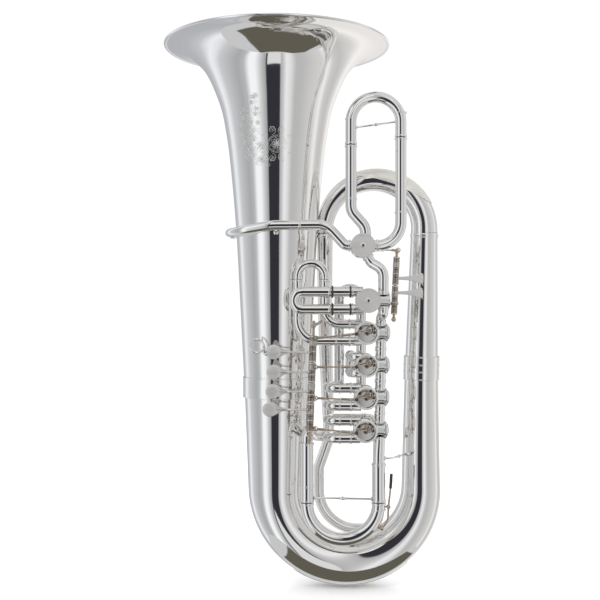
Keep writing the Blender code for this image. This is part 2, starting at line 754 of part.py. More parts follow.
def make_leadpipe():
    corners = [
        (FIFTH.x - CASING_R - GAP, FIFTH.y, FIFTH.z + 1),
        (76.0, FIFTH.y, FIFTH.z + 1),
        (42.0, -88.0, 668.0),
        (-58.0, -91.0, 667.0),
        (-134.0, -72.0, 655.0),
        (-136.0, 60.0, 662.0),
    ]
    points = rounded(corners, [14.0, 34.0, 60.0, 48.0])
    pipe = tube("leadpipe_skin", points, tapered(points, ((0.0, 9.4), (0.45, 8.6), (1.0, 5.9))), 10, WALL)
    node(pipe, "leadpipe", SILVER)
    profile = (
        (6.3, -14.0),
        (7.6, -14.0),
        (8.2, 30.0),
        (9.4, 32.0),
        (9.4, 38.0),
        (7.4, 38.0),
        (6.4, 0.0),
    )
    along = points[-1] - points[-2]
    sleeve = turned("receiver_body", profile, aimed(points[-1], along), 14, closed=True)
    node(sleeve, "mouthpiece_receiver", SILVER)


# ---------------------------------------------------------------- levers, links and rings


def on_hinge(foot, head, z):
    return foot.lerp(head, (z - foot.z) / (head.z - foot.z))


def teardrop(radius, tail):
    """A round plate drawn out to a narrow tail on its +X side."""
    outline = []
    for i in range(11):
        angle = math.radians(50 + 26 * i)
        outline.append((radius * math.cos(angle), radius * math.sin(angle)))
    return outline + [(tail, -2.6), (tail, 2.6)]


def make_paddle(number):
    low, high = PADDLE_SPANS[number - 1]
    foot, head = on_hinge(HINGE_FOOT, HINGE_HEAD, low), on_hinge(HINGE_FOOT, HINGE_HEAD, high)
    x, z = PADDLE_PLATES[number - 1]
    barrel = cylinder(f"paddle{number}_barrel", foot, head, HINGE_TUBE_R, 12)
    root = on_hinge(HINGE_FOOT, HINGE_HEAD, z - 1.5) + Vector((-2, -3, 0))
    arm = tube(f"paddle{number}_arm", [root, (-4, -101, z - 1), (-26, PLATE_Y, z), (x + 8, PLATE_Y, z)], 2.2, 6)
    touch = plate(f"paddle{number}_touch", teardrop(PLATE_R, 25.0), aimed((x, PLATE_Y, z), (0, -1, 0)), 3.0)
    horn_z = HORN_Z[number - 1]
    base = on_hinge(HINGE_FOOT, HINGE_HEAD, min(max(horn_z, low + 4), high - 4)) + Vector((2, -3, 0))
    horn = tube(f"paddle{number}_horn", [base, (HORN_X, LINK_Y + 3.4, horn_z), (HORN_X, LINK_Y - 3.6, horn_z)], 1.7, 6)
    bore = cylinder(
        f"paddle{number}_bore",
        on_hinge(HINGE_FOOT, HINGE_HEAD, low - 3),
        on_hinge(HINGE_FOOT, HINGE_HEAD, high + 3),
        HINGE_BORE_R,
        12,
    )
    node(barrel, f"paddle{number}", SATIN, foot, [arm, touch, horn], [bore])


def eye(name, centre, inner, outer):
    """A flat ring about an axis along Y."""
    profile = ((outer, 1.1), (outer, -1.1), (inner, -1.1), (inner, 1.1))
    return turned(name, profile, aimed(centre, (0, -1, 0)), 8, closed=True)


def make_link(number, start, ball_place, pin):
    """A push rod with an eye round the lever's horn and an open eye round the stop arm's pin."""
    start, ball_place, pin = Vector(start), Vector(ball_place), Vector(pin)
    first = eye(f"link{number}_first", start, 2.5, 4.4)
    side = (ball_place - start).normalized()
    rod = cylinder(f"link{number}_rod", start + side * 3.3, ball_place, 1.2, 6)
    length = (ball_place - start).length
    sleeve = cylinder(f"link{number}_sleeve", start + side * length * 0.6, ball_place - side * 3, 2.3, 6)
    knob = ball(f"link{number}_ball", ball_place, 3.3, 8)
    reach = (pin - ball_place).normalized()
    tongue = cylinder(f"link{number}_tongue", ball_place, pin - reach * 5.4, 1.2, 6)
    second = eye(f"link{number}_second", pin, 4.8, 6.6)
    node(rod, f"link{number}", NICKEL, start, [first, sleeve, knob, tongue, second])


def make_main_levers():
    for number in range(1, 5):
        make_paddle(number)
        x, z = VALVE_X[number - 1], VALVE_Z[number - 1]
        ball_place = (LINK_BALL_X, LINK_Y, z - 1.0)
        pin = (x + STOP_PIN, LINK_Y + 5.0, z + STOP_PIN)
        make_link(number, (HORN_X, LINK_Y, HORN_Z[number - 1]), ball_place, pin)
    rod = cylinder("paddle_rod", HINGE_FOOT, HINGE_HEAD, HINGE_ROD_R, 8)
    ends = [ball(f"paddle_rod_end{i}", place, 4.2) for i, place in enumerate((HINGE_FOOT, HINGE_HEAD))]
    post = cylinder("paddle_post", HINGE_HEAD, (34.5, -82.0, 496.0), 2.8, 8)
    node(rod, "paddle_hinge_rod", NICKEL, HINGE_FOOT, [*ends, post])


def fan(length, root, tip):
    waist = (length * 0.55, root + 1.5)
    upper = [(length + 3, 0), (length, tip), waist, (0, root)]
    return [(0, -root), (waist[0], -waist[1]), (length, -tip), *upper]


def make_thumb_levers():
    valves = (FIFTH, SIXTH)
    for i, number in enumerate((5, 6)):
        low, high = THUMB_SPANS[i]
        foot, head = on_hinge(THUMB_FOOT, THUMB_HEAD, low), on_hinge(THUMB_FOOT, THUMB_HEAD, high)
        z = THUMB_PLATE_Z[i]
        barrel = cylinder(f"thumb{number}_barrel", foot, head, 5.6, 12)
        root = on_hinge(THUMB_FOOT, THUMB_HEAD, z) + Vector((3, -2, 0))
        blade = aimed(root, (0, -1, 0))
        touch = plate(f"thumb{number}_touch", fan(44.0, 2.6, 9.5), blade, 2.4)
        link_z = valves[i].z - STOP_PIN
        near = on_hinge(THUMB_FOOT, THUMB_HEAD, min(max(link_z, low + 4), high - 4))
        start = Vector((near.x + 5.0, THUMB_LINK_Y, link_z))
        horn = tube(
            f"thumb{number}_horn",
            [near + Vector((0, 3, 0)), start - Vector((0, 4.0, 0)), start + Vector((0, 3.4, 0))],
            1.7,
            6,
        )
        bore = cylinder(
            f"thumb{number}_bore",
            on_hinge(THUMB_FOOT, THUMB_HEAD, low - 3),
            on_hinge(THUMB_FOOT, THUMB_HEAD, high + 3),
            HINGE_BORE_R,
            12,
        )
        node(barrel, f"thumb_lever{number}", SATIN, foot, [touch, horn], [bore])
        pin_y = valves[i].y + 30.5
        pin = (valves[i].x + STOP_PIN, pin_y, link_z)
        make_link(number, start, (valves[i].x + 24.0, (pin_y + THUMB_LINK_Y) / 2, link_z), pin)
    rod = cylinder("thumb_rod", THUMB_FOOT, THUMB_HEAD, HINGE_ROD_R, 8)
    ends = [ball(f"thumb_rod_end{i}", place, 4.4) for i, place in enumerate((THUMB_FOOT, THUMB_HEAD))]
    node(rod, "thumb_hinge_rod", NICKEL, THUMB_FOOT, ends)


def make_thumb_ring():
    """A ring for the right thumb, on a stem that stands on the bell."""
    centre = Vector((-83.0, -80.0, 452.0))
    facing = Vector((0.25, -0.85, 0.5)).normalized()
    profile = [
        (13.5 + 2.2 * math.cos(math.radians(60 * i)), 2.2 * math.sin(math.radians(60 * i)))
        for i in range(6)
    ]
    ring = turned("ring_body", profile, aimed(centre, facing), 18, closed=True)
    foot = Vector((-67.0, -65.0, 440.0))
    away = foot - centre
    away -= facing * away.dot(facing)
    edge = centre + away.normalized() * 13.5
    inward = Vector((BELL_X - foot.x, -foot.y, 0)).normalized()
    stem = tube("ring_stem", [edge, foot - inward * 6.0, foot + inward * 1.0], 2.2, 6)
    base = cylinder("ring_base", foot, foot + inward * 2.6, 6.5, 10)
    node(ring, "thumb_ring", SILVER, None, [stem, base])


def make_brace():
    """The stay between the main slide's right tube and the outer branch."""
    x = MAIN_RIGHT_X + 11.4
    stay = [(x, PORT_Y, 250.0), (x + 8.0, PORT_Y, 250.0), (BRANCH_X - 30.0, -27.0, 250.0)]
    node(tube("brace_body", stay, [3.0, 2.0, 3.0], 8), "branch_brace", SILVER)


def main():
    make_bell()
    make_bottom_bow()
    make_bow_guard()
    make_top()
    make_top_guard()
    make_loop()
    make_first_casing()
    make_second_casing()
    make_third_casing()
    make_fourth_casing()
    make_fifth_valve()
    make_sixth_valve()
    make_line()
    make_main_slide()
    make_water_key()
    make_leadpipe()
    make_main_levers()
    make_thumb_levers()
    make_thumb_ring()
    make_brace()


main()
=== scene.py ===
"""The look of the rotary tuba: tubes, fittings, finish and studio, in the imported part's frame."""

from math import ceil, cos, degrees, pi, radians, sin, sqrt, tan

import bpy
from mathutils import Matrix, Vector


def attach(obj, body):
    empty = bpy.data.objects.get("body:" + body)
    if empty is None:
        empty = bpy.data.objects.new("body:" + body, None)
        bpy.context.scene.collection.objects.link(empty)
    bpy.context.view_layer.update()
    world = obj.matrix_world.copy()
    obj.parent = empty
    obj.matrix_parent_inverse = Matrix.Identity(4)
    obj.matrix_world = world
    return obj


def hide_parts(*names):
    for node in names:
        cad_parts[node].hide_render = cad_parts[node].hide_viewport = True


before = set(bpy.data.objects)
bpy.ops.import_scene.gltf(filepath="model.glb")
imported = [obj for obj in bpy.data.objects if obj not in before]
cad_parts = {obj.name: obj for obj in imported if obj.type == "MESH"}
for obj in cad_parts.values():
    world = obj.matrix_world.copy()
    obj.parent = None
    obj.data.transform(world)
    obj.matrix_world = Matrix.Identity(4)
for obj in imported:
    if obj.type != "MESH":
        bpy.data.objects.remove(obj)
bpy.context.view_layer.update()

MM = 0.001
UP, RIGHT, FRONT = (0, 0, 1), (1, 0, 0), (0, -1, 0)


def at(x, y, z):
    return Vector((x, y, z))


def up(z):
    return Vector((0, 0, z))


# Where the main shapes lie, in millimetres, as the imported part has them.
BELL_X = -48.2
BELL_PROFILE = (
    (60.8, 372), (69, 534), (77, 676), (88.5, 801), (95, 847),
    (105, 894), (134, 960), (158, 985), (182, 1000), (204, 1006),
)
BOW_X, BOW_Z, BOW_RADIUS = 86.6, 184, 134.8
BOW_TAPER = ((0, 60.5), (0.27, 52), (0.5, 45), (0.72, 36.8), (0.8, 35), (1, 31))
BRANCH_X, BRANCH_JOINT_Z = 222.6, 407
TOP_X, TOP_Z, TOP_RADIUS = 135.1, 667, 92.7
TOP_TAPER = ((0, 25), (0.5, 20.6), (1, 15.3))
VALVE_Y, BACK_Y = -75, -39
VALVE_PLACES = ((113.8, 475.5), (113.1, 417.5), (112.3, 360), (111.2, 301.3))
VALVES = [(x, VALVE_Y, z) for x, z in VALVE_PLACES]
FIFTH = (106, -85, 630)
SIXTH = (115, -92, 533)
PADDLE_ROD = at(11.8, -90, 287.5), at(19.4, -90, 488)
PADDLE_SPANS = ((423.4, 471), (387.4, 422.8), (351.4, 386.8), (299.5, 350.8))
PADDLE_PLATES = ((-50.9, 442.5), (-50.9, 407.3), (-52.6, 373), (-57.9, 341.3))
PLATE_Y, PLATE_R = -108, 13
HORN_X, HORN_Z = 22, (467, 416.3, 361.8, 308.2)
LINK_Y, LINK_BALL_X, STOP_PIN = -112, 94.5, 5.2
TUBE_WALL, LINE_RADIUS = 1.2, 9.2
THUMB_ROD = at(163.4, -72, 499), at(169.2, -72, 622)
THUMB_SPANS = ((560.5, 612), (508, 559.9))
THUMB_PLATE_Z = (573, 547)
THUMB_LINK_Y = -50


# Finishes


def material(name):
    made = bpy.data.materials.new(name)
    made.use_nodes = True
    return made, made.node_tree.nodes, made.node_tree.links


def fill(node, **values):
    """Sets a node's inputs, each named with _ for a space."""
    for name, value in values.items():
        node.inputs[name.replace("_", " ")].default_value = value
    return node


def finish(name, color, roughness, haze, metallic=1, grain=None, ripple=0):
    """A material whose roughness wanders by haze. Grain stretches that into brush marks."""
    made, nodes, links = material(name)
    shader = nodes["Principled BSDF"]
    fill(shader, Base_Color=(*color, 1), Metallic=metallic)
    place = nodes.new("ShaderNodeTexCoord")
    stretch = fill(nodes.new("ShaderNodeMapping"), Scale=grain or (1, 1, 1))
    noise = fill(nodes.new("ShaderNodeTexNoise"), Scale=22, Detail=4)
    spread = fill(
        nodes.new("ShaderNodeMapRange"),
        From_Min=0.3,
        From_Max=0.7,
        To_Min=roughness,
        To_Max=roughness + haze,
    )
    links.new(place.outputs["Object"], stretch.inputs["Vector"])
    links.new(stretch.outputs["Vector"], noise.inputs["Vector"])
    links.new(noise.outputs["Fac"], spread.inputs["Value"])
    links.new(spread.outputs["Result"], shader.inputs["Roughness"])
    if ripple:
        bump = fill(nodes.new("ShaderNodeBump"), Strength=ripple, Distance=0.002)
        links.new(noise.outputs["Fac"], bump.inputs["Height"])
        links.new(bump.outputs["Normal"], shader.inputs["Normal"])
    return made


FINISHES = (
    finish("silver", (0.93, 0.92, 0.905), 0.035, 0.035, ripple=0.012),
    finish("satin", (0.66, 0.645, 0.625), 0.4, 0.12, metallic=0.82, grain=(1, 1, 9)),
    finish("nickel", (0.6, 0.51, 0.42), 0.16, 0.1),
    finish("rubber", (0.018, 0.018, 0.018), 0.5, 0.2, metallic=0),
    finish("seam", (0.055, 0.05, 0.045), 0.35, 0.2, metallic=0.6),
    finish("engraved", (0.84, 0.83, 0.81), 0.34, 0.16),
    finish("cork", (0.36, 0.25, 0.15), 0.75, 0.2, metallic=0),
    finish("hinge", (0.4, 0.345, 0.3), 0.2, 0.14),
    finish("etched", (0.84, 0.825, 0.775), 0.3, 0.22, metallic=0.88, ripple=0.3),
    finish("lining", (0.93, 0.915, 0.89), 0.16, 0.08, metallic=0.72),
)
SILVER, SATIN, NICKEL, RUBBER, SEAM, ENGRAVED, CORK, HINGE, ETCHED, LINING = range(10)


# Shapes


def turned_to(axis):
    return Vector(axis).to_track_quat("Z", "Y").to_matrix()


class Shape:
    """Surfaces that make one piece, in millimetres, each face with its finish."""

    def __init__(self):
        self.corners, self.faces, self.finishes = [], [], []

    def take(self, corners, faces, look):
        start = len(self.corners)
        self.corners += [tuple(corner) for corner in corners]
        self.faces += [tuple(start + index for index in face) for face in faces]
        self.finishes += [look] * len(faces)

    def lathe(self, profile, origin, axis, look=SILVER, steps=56, closed=False):
        """Turns (radius, height) points about the axis. An open profile ends at radius 0."""
        turn, origin = turned_to(axis), Vector(origin)
        corners, rings, faces = [], [], []
        for radius, height in profile:
            count = steps if radius > 1e-6 else 1
            rings.append([len(corners) + i for i in range(count)])
            for i in range(count):
                angle = 2 * pi * i / steps
                local = at(radius * cos(angle), radius * sin(angle), height)
                corners.append(origin + turn @ local)
        pairs = list(zip(rings, rings[1:]))
        if closed:
            pairs.append((rings[-1], rings[0]))
        for low, high in pairs:
            for i in range(steps):
                j = (i + 1) % steps
                face = [low[i % len(low)], low[j % len(low)]]
                face += [high[j % len(high)], high[i % len(high)]]
                face = list(dict.fromkeys(face))
                if len(face) > 2:
                    faces.append(face)
        self.take(corners, faces, look)

    def sweep(self, points, radii, look=SILVER, sides=36, wall=0):
        """A round tube along the points: solid, or a shell with open ends if it has a wall."""
        points = [Vector(point) for point in points]
        if not isinstance(radii, (list, tuple)):
            radii = [radii] * len(points)
        ways = [(after - before).normalized() for before, after in zip(points, points[1:])]
        across = ways[0].orthogonal().normalized()
        skins = [radii] if not wall else [radii, [radius - wall for radius in radii]]
        corners, rings = [], [[] for _ in skins]
        for i, point in enumerate(points):
            before, after = ways[max(i - 1, 0)], ways[min(i, len(ways) - 1)]
            way = (before + after).normalized()
            across = (across - way * across.dot(way)).normalized()
            upright = way.cross(across)
            for skin, sizes in enumerate(skins):
                rings[skin].append(len(corners))
                for k in range(sides):
                    angle = 2 * pi * k / sides
                    out = across * cos(angle) + upright * sin(angle)
                    corners.append(point + out * sizes[i])
        faces = []
        for skin, starts in enumerate(rings):
            for low, high in zip(starts, starts[1:]):
                for k in range(sides):
                    j = (k + 1) % sides
                    face = [low + k, low + j, high + j, high + k]
                    faces.append(face if skin == 0 else face[::-1])
        if wall:
            for end, flip in ((0, 1), (-1, -1)):
                outer, inner = rings[0][end], rings[1][end]
                for k in range(sides):
                    j = (k + 1) % sides
                    faces.append([outer + k, inner + k, inner + j, outer + j][::flip])
        else:
            faces.append([rings[0][0] + k for k in range(sides)][::-1])
            faces.append([rings[0][-1] + k for k in range(sides)])
        self.take(corners, faces, look)

    def tube(self, points, radii, sides):
        self.sweep(points, radii, SILVER, sides, TUBE_WALL)

    def pipe(self, corners, bends, radius, wall):
        """An open tube with its bends rounded."""
        self.sweep(rounded(corners, bends), radius, wall=wall)

    def rod(self, start, end, radius, look=SILVER, steps=28, edge=0.35):
        start, end = Vector(start), Vector(end)
        length = (end - start).length
        profile = [(0, 0), (radius - edge, 0), (radius, edge)]
        profile += [(radius, length - edge), (radius - edge, length), (0, length)]
        self.lathe(profile, start, end - start, look, steps)

    def orb(self, centre, radius, look=SILVER, steps=28, squash=1, axis=UP):
        profile = []
        for i in range(13):
            angle = pi * i / 12
            profile.append((radius * sin(angle) * (0 < i < 12), -radius * squash * cos(angle)))
        self.lathe(profile, centre, axis, look, steps)

    def band(self, centre, axis, inner, outer, width, look=SILVER, steps=56):
        """A raised ring round a tube, with a rounded crown."""
        half, crown = width / 2, min(width * 0.3, outer - inner)
        upper = [(inner, half), (outer - crown, half)]
        upper += [(outer - crown * 0.3, half - crown * 0.3), (outer, half - crown)]
        lower = [(radius, -height) for radius, height in upper]
        self.lathe(lower + upper[::-1], centre, axis, look, steps, closed=True)

    def rings(self, places, axis, radius, width=3.2, rise=1.5):
        """Raised rings on a tube of this radius."""
        for place in places:
            self.band(place, axis, radius - 0.2, radius + rise, width)

    def slab(self, outline, place, thickness, look=SATIN, edge=0.5):
        """A flat plate with softened edges, its outline anticlockwise in the place's XY plane."""
        count = len(outline)
        inset = []
        for i, (x, y) in enumerate(outline):
            before, after = Vector(outline[i - 1]), Vector(outline[(i + 1) % count])
            along = (after - before).normalized()
            inset.append((x - along.y * edge, y + along.x * edge))
        half = thickness / 2
        levels = ((inset, -half), (outline, edge - half), (outline, half - edge), (inset, half))
        corners = [place @ at(x, y, z) for points, z in levels for x, y in points]
        faces = [list(range(count))[::-1], [3 * count + i for i in range(count)]]
        for level in range(3):
            for i in range(count):
                j = (i + 1) % count
                low, high = level * count, (level + 1) * count
                faces.append([low + i, low + j, high + j, high + i])
        self.take(corners, faces, look)

    def strip(self, corners, ring, look):
        """A solid bar through rows of corners, ring of them to a row."""
        last = len(corners) - ring
        faces = []
        for row in range(0, last, ring):
            for j in range(ring):
                k = (j + 1) % ring
                faces.append([row + j, row + ring + j, row + ring + k, row + k])
        faces.append(list(range(ring)))
        faces.append([last + j for j in range(ring)][::-1])
        self.take(corners, faces, look)

    def screw(self, centre, axis, radius, look=SATIN, height=1.2):
        """A slotted screw head, standing on the surface at centre."""
        centre, axis = Vector(centre), Vector(axis).normalized()
        profile = [(0, 0), (radius, 0), (radius, height * 0.6), (radius * 0.7, height), (0, height)]
        self.lathe(profile, centre, axis, look, 24)
        side = axis.orthogonal().normalized()
        top = centre + axis * (height - 0.1)
        self.rod(top - side * radius * 0.8, top + side * radius * 0.8, radius * 0.16, SEAM, 6, 0.02)

    def stay(self, start, end, radius, look=SILVER):
        """A turned brace between two tubes: a flange at each end and beads about its middle."""
        start, end = Vector(start), Vector(end)
        length = (end - start).length
        wide = radius * 2.3
        profile = [(0, 0), (wide, 0), (wide, 0.9), (wide * 0.6, 2), (radius, 4)]
        beads = (1, 7), (1.55, 5.6), (1, 4.2), (1.9, 1.6), (2, 0)
        profile += [(radius * swell, length / 2 - before) for swell, before in beads]
        profile += [(r, length - h) for r, h in reversed(profile[:-1])]
        self.lathe(profile, start, end - start, look, 28)


def piece(name, body, slot, shape, *nodes):
    """One finished object that stands for the CAD nodes and rides with the body."""
    mesh = bpy.data.meshes.new(name)
    corners = [tuple(value * MM for value in corner) for corner in shape.corners]
    mesh.from_pydata(corners, [], shape.faces)
    used = sorted(set(shape.finishes))
    for look in used:
        mesh.materials.append(FINISHES[look])
    for polygon, look in zip(mesh.polygons, shape.finishes):
        polygon.material_index = used.index(look)
    mesh.shade_smooth()
    mesh.set_sharp_from_angle(angle=radians(34))
    mesh.validate()
    obj = bpy.data.objects.new(name, mesh)
    bpy.context.scene.collection.objects.link(obj)
    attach(obj, body)
    if nodes:
        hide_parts(*nodes)


def fixed(name, shape, slot="silver_plate"):
    """A piece on the body that stands for the CAD node of its name."""
    piece(name, "body", slot, shape, name)


def moving(name, shape, slot):
    """A piece that stands for the CAD node of its name, on the body of that name."""
    piece(name, name, slot, shape, name)


# Paths


def hermite(start, leaving, end, arriving, t):
    """The value at t on the curve between two ends with these slopes."""
    value = start * (2 * t**3 - 3 * t**2 + 1) + leaving * (t**3 - 2 * t**2 + t)
    return value + end * (3 * t**2 - 2 * t**3) + arriving * (t**3 - t**2)


def through(points, steps=8):
    """A smooth curve through the points."""
    points = [Vector(point) for point in points]
    ends = [points[0] * 2 - points[1], *points, points[-1] * 2 - points[-2]]
    made = []
    for a, b, c, d in zip(ends, ends[1:], ends[2:], ends[3:]):
        near, far = (b - a).length ** 0.5, (c - b).length ** 0.5
        last = (d - c).length ** 0.5
        m1 = (b - a) / near - (c - a) / (near + far) + (c - b) / far
        m2 = (c - b) / far - (d - b) / (far + last) + (d - c) / last
        m1, m2 = m1 * far, m2 * far
        made += [hermite(b, m1, c, m2, i / steps) for i in range(steps)]
    return made + [points[-1]]


def rounded(corners, bends, step=6):
    """Points along straight runs between the corners, with an arc of its own radius at each one."""
    corners = [Vector(corner) for corner in corners]
    if not isinstance(bends, (list, tuple)):
        bends = [bends] * (len(corners) - 2)
    points = [corners[0]]
    for before, corner, after, bend in zip(corners, corners[1:], corners[2:], bends):
        toward, away = (before - corner).normalized(), (after - corner).normalized()
        turn = pi - toward.angle(away)
        if turn < 0.01:
            continue
        centre = corner + (toward + away).normalized() * (bend / cos(turn / 2))
        axis = toward.cross(away).normalized()
        first = corner + toward * (bend * tan(turn / 2)) - centre
        count = max(3, ceil(degrees(turn) / step))
        for i in range(count + 1):
            points.append(centre + Matrix.Rotation(-turn * i / count, 3, axis) @ first)
    points.append(corners[-1])
    return points


def eased(pairs, share):
    """The value at a share of the length, on a smooth curve through (share, value) pairs."""
    for i in range(len(pairs) - 1):
        (low, first), (high, last) = pairs[i], pairs[i + 1]
        if share > high and i < len(pairs) - 2:
            continue
        span = high - low
        before, after = pairs[max(i - 1, 0)], pairs[min(i + 2, len(pairs) - 1)]
        slope_in = (last - before[1]) / (high - before[0]) * span
        slope_out = (after[1] - first) / (after[0] - low) * span
        t = min(max((share - low) / span, 0), 1)
        return hermite(first, slope_in, last, slope_out, t)


def tapered(points, pairs):
    total = [0]
    for before, after in zip(points, points[1:]):
        total.append(total[-1] + (after - before).length)
    return [eased(pairs, length / total[-1]) for length in total]


def on_hinge(hinge, z):
    """The point of the hinge's axis at this height."""
    foot, head = hinge
    return foot.lerp(head, (z - foot.z) / (head.z - foot.z))


def split(points, length=6):
    """The same path with long runs cut into short ones, so that a taper stays smooth."""
    made = [points[0]]
    for before, after in zip(points, points[1:]):
        count = max(1, int((after - before).length / length))
        made += [before.lerp(after, (i + 1) / count) for i in range(count)]
    return made


# Bell and big branches


def bell_curve():
    return [(point.x, point.y) for point in through([(r, z, 0) for r, z in BELL_PROFILE], 9)]


BELL_CURVE = bell_curve()


def bell_radius(z):
    for (low_r, low), (high_r, high) in zip(BELL_CURVE, BELL_CURVE[1:]):
        if low <= z <= high:
            return low_r + (high_r - low_r) * (z - low) / (high - low)
    return BELL_CURVE[0][0]


def on_bell(x, z, lift=0):
    """The point of the bell's front that lies at this X and Z."""
    radius = bell_radius(z) + lift
    side = max(-radius, min(radius, x - BELL_X))
    return at(BELL_X + side, -sqrt(radius * radius - side * side), z)


def make_bell():
    bell = Shape()
    bead = 2.4
    centre = (207.6, 1007.1)
    rim = [
        (centre[0] + bead * cos(radians(a)), centre[1] + bead * sin(radians(a)))
        for a in range(-100, 171, 15)
    ]
    inner = [(r - 1, z + (0.9 if r > 120 else 0)) for r, z in BELL_CURVE]
    steps = 180
    bell.lathe(BELL_CURVE + rim + inner[::-1], (BELL_X, 0, 0), UP, SILVER, steps, closed=True)
    outside = (len(BELL_CURVE) + len(rim)) * steps
    bell.finishes[outside:] = [LINING] * (len(bell.finishes) - outside)
    fixed("bell", bell)


def spiral(x, z, size, start, turns, way, tight=0.16):
    """A vine tendril that curls in to its centre."""
    made = []
    count = int(26 * abs(turns)) + 8
    for i in range(count + 1):
        share = i / count
        radius = size * (1 - share) ** 1.2 + size * tight * share
        angle = radians(start) + way * 2 * pi * turns * share
        made.append((x + radius * cos(angle), z + radius * sin(angle)))
    return made


def leaf(x, z, length, lean, width=0.3):
    """The outline of a pointed leaf with its midrib."""
    along = (cos(radians(lean)), sin(radians(lean)))
    across = (-along[1], along[0])
    outline = []
    for side in (1, -1):
        part = []
        for i in range(11):
            share = i / 10
            out = side * length * width * sin(pi * share**0.8) * (1 + 0.16 * sin(share * 16))
            spot = [a * length * share + b * out for a, b in zip(along, across)]
            part.append((x + spot[0], z + spot[1]))
        outline += part if side == 1 else part[::-1]
    rib = [(x + along[0] * length * s, z + along[1] * length * s) for s in (0.08, 0.35, 0.6, 0.8)]
    return outline, rib


def vine(stem, curls):
    """A winding stem with a tendril and a fan of leaves at each of its curls."""
    curve = [(p.x, p.y) for p in through([(x, z, 0) for x, z in stem], 10)]
    strokes = [curve]
    for i in range(curls):
        x, z = curve[int((i + 0.5) * (len(curve) - 1) / curls)]
        side = 1 if i % 2 else -1
        size = 9.5 - 3.5 * i / curls
        here, there = (180, 0) if side > 0 else (0, 180)
        strokes.append(spiral(x + side * size, z + 2, size, here, 1.6, -side))
        strokes.append(spiral(x - side * size * 0.6, z - 3, size * 0.5, there, 1.2, side))
        for lean in (20, 50, 80, 110, 140):
            strokes += leaf(x + side * 2, z + 2, size * 1.05, lean * side + there, 0.24)
    return strokes


def flower(x, z, size, petals=6):
    made = []
    for i in range(petals):
        made += leaf(x, z, size, 360 / petals * i + 12, 0.34)
    eye = (0, 1, 2, 3, 4, 5, 6.28)
    return made + [[(x + size * 0.2 * cos(a), z + size * 0.2 * sin(a)) for a in eye]]


def make_engraving():
    """Scrolls, leaves and flowers cut into the bell's front, with no lettering."""
    outer = [(-62, 776), (-78, 782), (-93, 795), (-103, 815)]
    outer += [(-108, 838), (-104, 862), (-94, 880), (-82, 896)]
    inner = [(-66, 800), (-78, 806), (-88, 822), (-92, 842), (-86, 862), (-76, 874)]
    strokes = vine(outer, 11) + vine(inner, 7)
    blooms = (-110, 842, 7), (-84, 896, 5.5), (-90, 826, 6.5), (-99, 798, 6), (-80, 850, 5)
    for x, z, size in blooms:
        strokes += flower(x, z, size)
    x, z = -46, 812
    turn = [i / 5 for i in range(33)]
    for size in (17, 14.8):
        strokes.append([(x + size * cos(a), z + size * 0.9 * sin(a)) for a in turn])
    strokes += flower(x, z, 12, 8) + flower(x, z, 6.5, 8)
    for side in (-1, 1):
        for z, way in ((788, 1), (836, -1)):
            strokes.append(spiral(x + side * 9, z, 8, 90 * way, 1.5, side * way))
            strokes += leaf(x + side * 3, z, 11, way * (side * 55 - 90), 0.28)
            strokes += leaf(x + side * 19, z + 9 * way, 9, 90 - side * 90, 0.3)
    marks = Shape()
    for stroke in strokes:
        marks.sweep([on_bell(x, z, 0.05) for x, z in stroke], 0.25, ENGRAVED, 5)
    piece("bell_engraving", "body", "silver_plate", marks)


def ferrule(name, centre, lean, inner, length, rings=()):
    """A sleeve with a raised ring at each end and fine lines between."""
    half = length / 2
    shape = Shape()
    lower = [(inner, -half), (inner + 0.4, -half), (inner + 0.7, 0.3 - half)]
    profile = lower + [(radius, -height) for radius, height in lower[::-1]]
    shape.lathe(profile, centre, lean, SILVER, 120, closed=True)
    way = Vector(lean).normalized()
    for offset, width, rise in (half - 1.6, 2.4, 1.15), (1.6 - half, 2.4, 1.15), *rings:
        place = Vector(centre) + way * offset
        shape.band(place, way, inner + 0.3, inner + rise, width, SILVER, 120)
    fixed(name, shape)


def bow_path():
    left = BOW_X - BOW_RADIUS
    points = [at(left, 0, z) for z in (371.7, 340, 300, 260, 220)]
    for i in range(73):
        angle = pi * (1 + i / 72)
        points.append(at(BOW_X + BOW_RADIUS * cos(angle), 0, BOW_Z + BOW_RADIUS * sin(angle)))
    for i in range(1, 13):
        share = i / 12
        x = BOW_X + BOW_RADIUS + (BRANCH_X - BOW_X - BOW_RADIUS) * share * share
        points.append(at(x, 0, BOW_Z + (406.2 - BOW_Z) * share))
    return points


def guard_section(across, edge, under, crown, fall):
    """The lean and lift of each corner of a guard's section: over the crown, and back beneath."""
    for j in range(2 * across):
        side = j if j < across else 2 * across - 1 - j
        share = 2 * side / (across - 1) - 1
        yield edge * share, under if j >= across else crown - fall * abs(share) ** 4


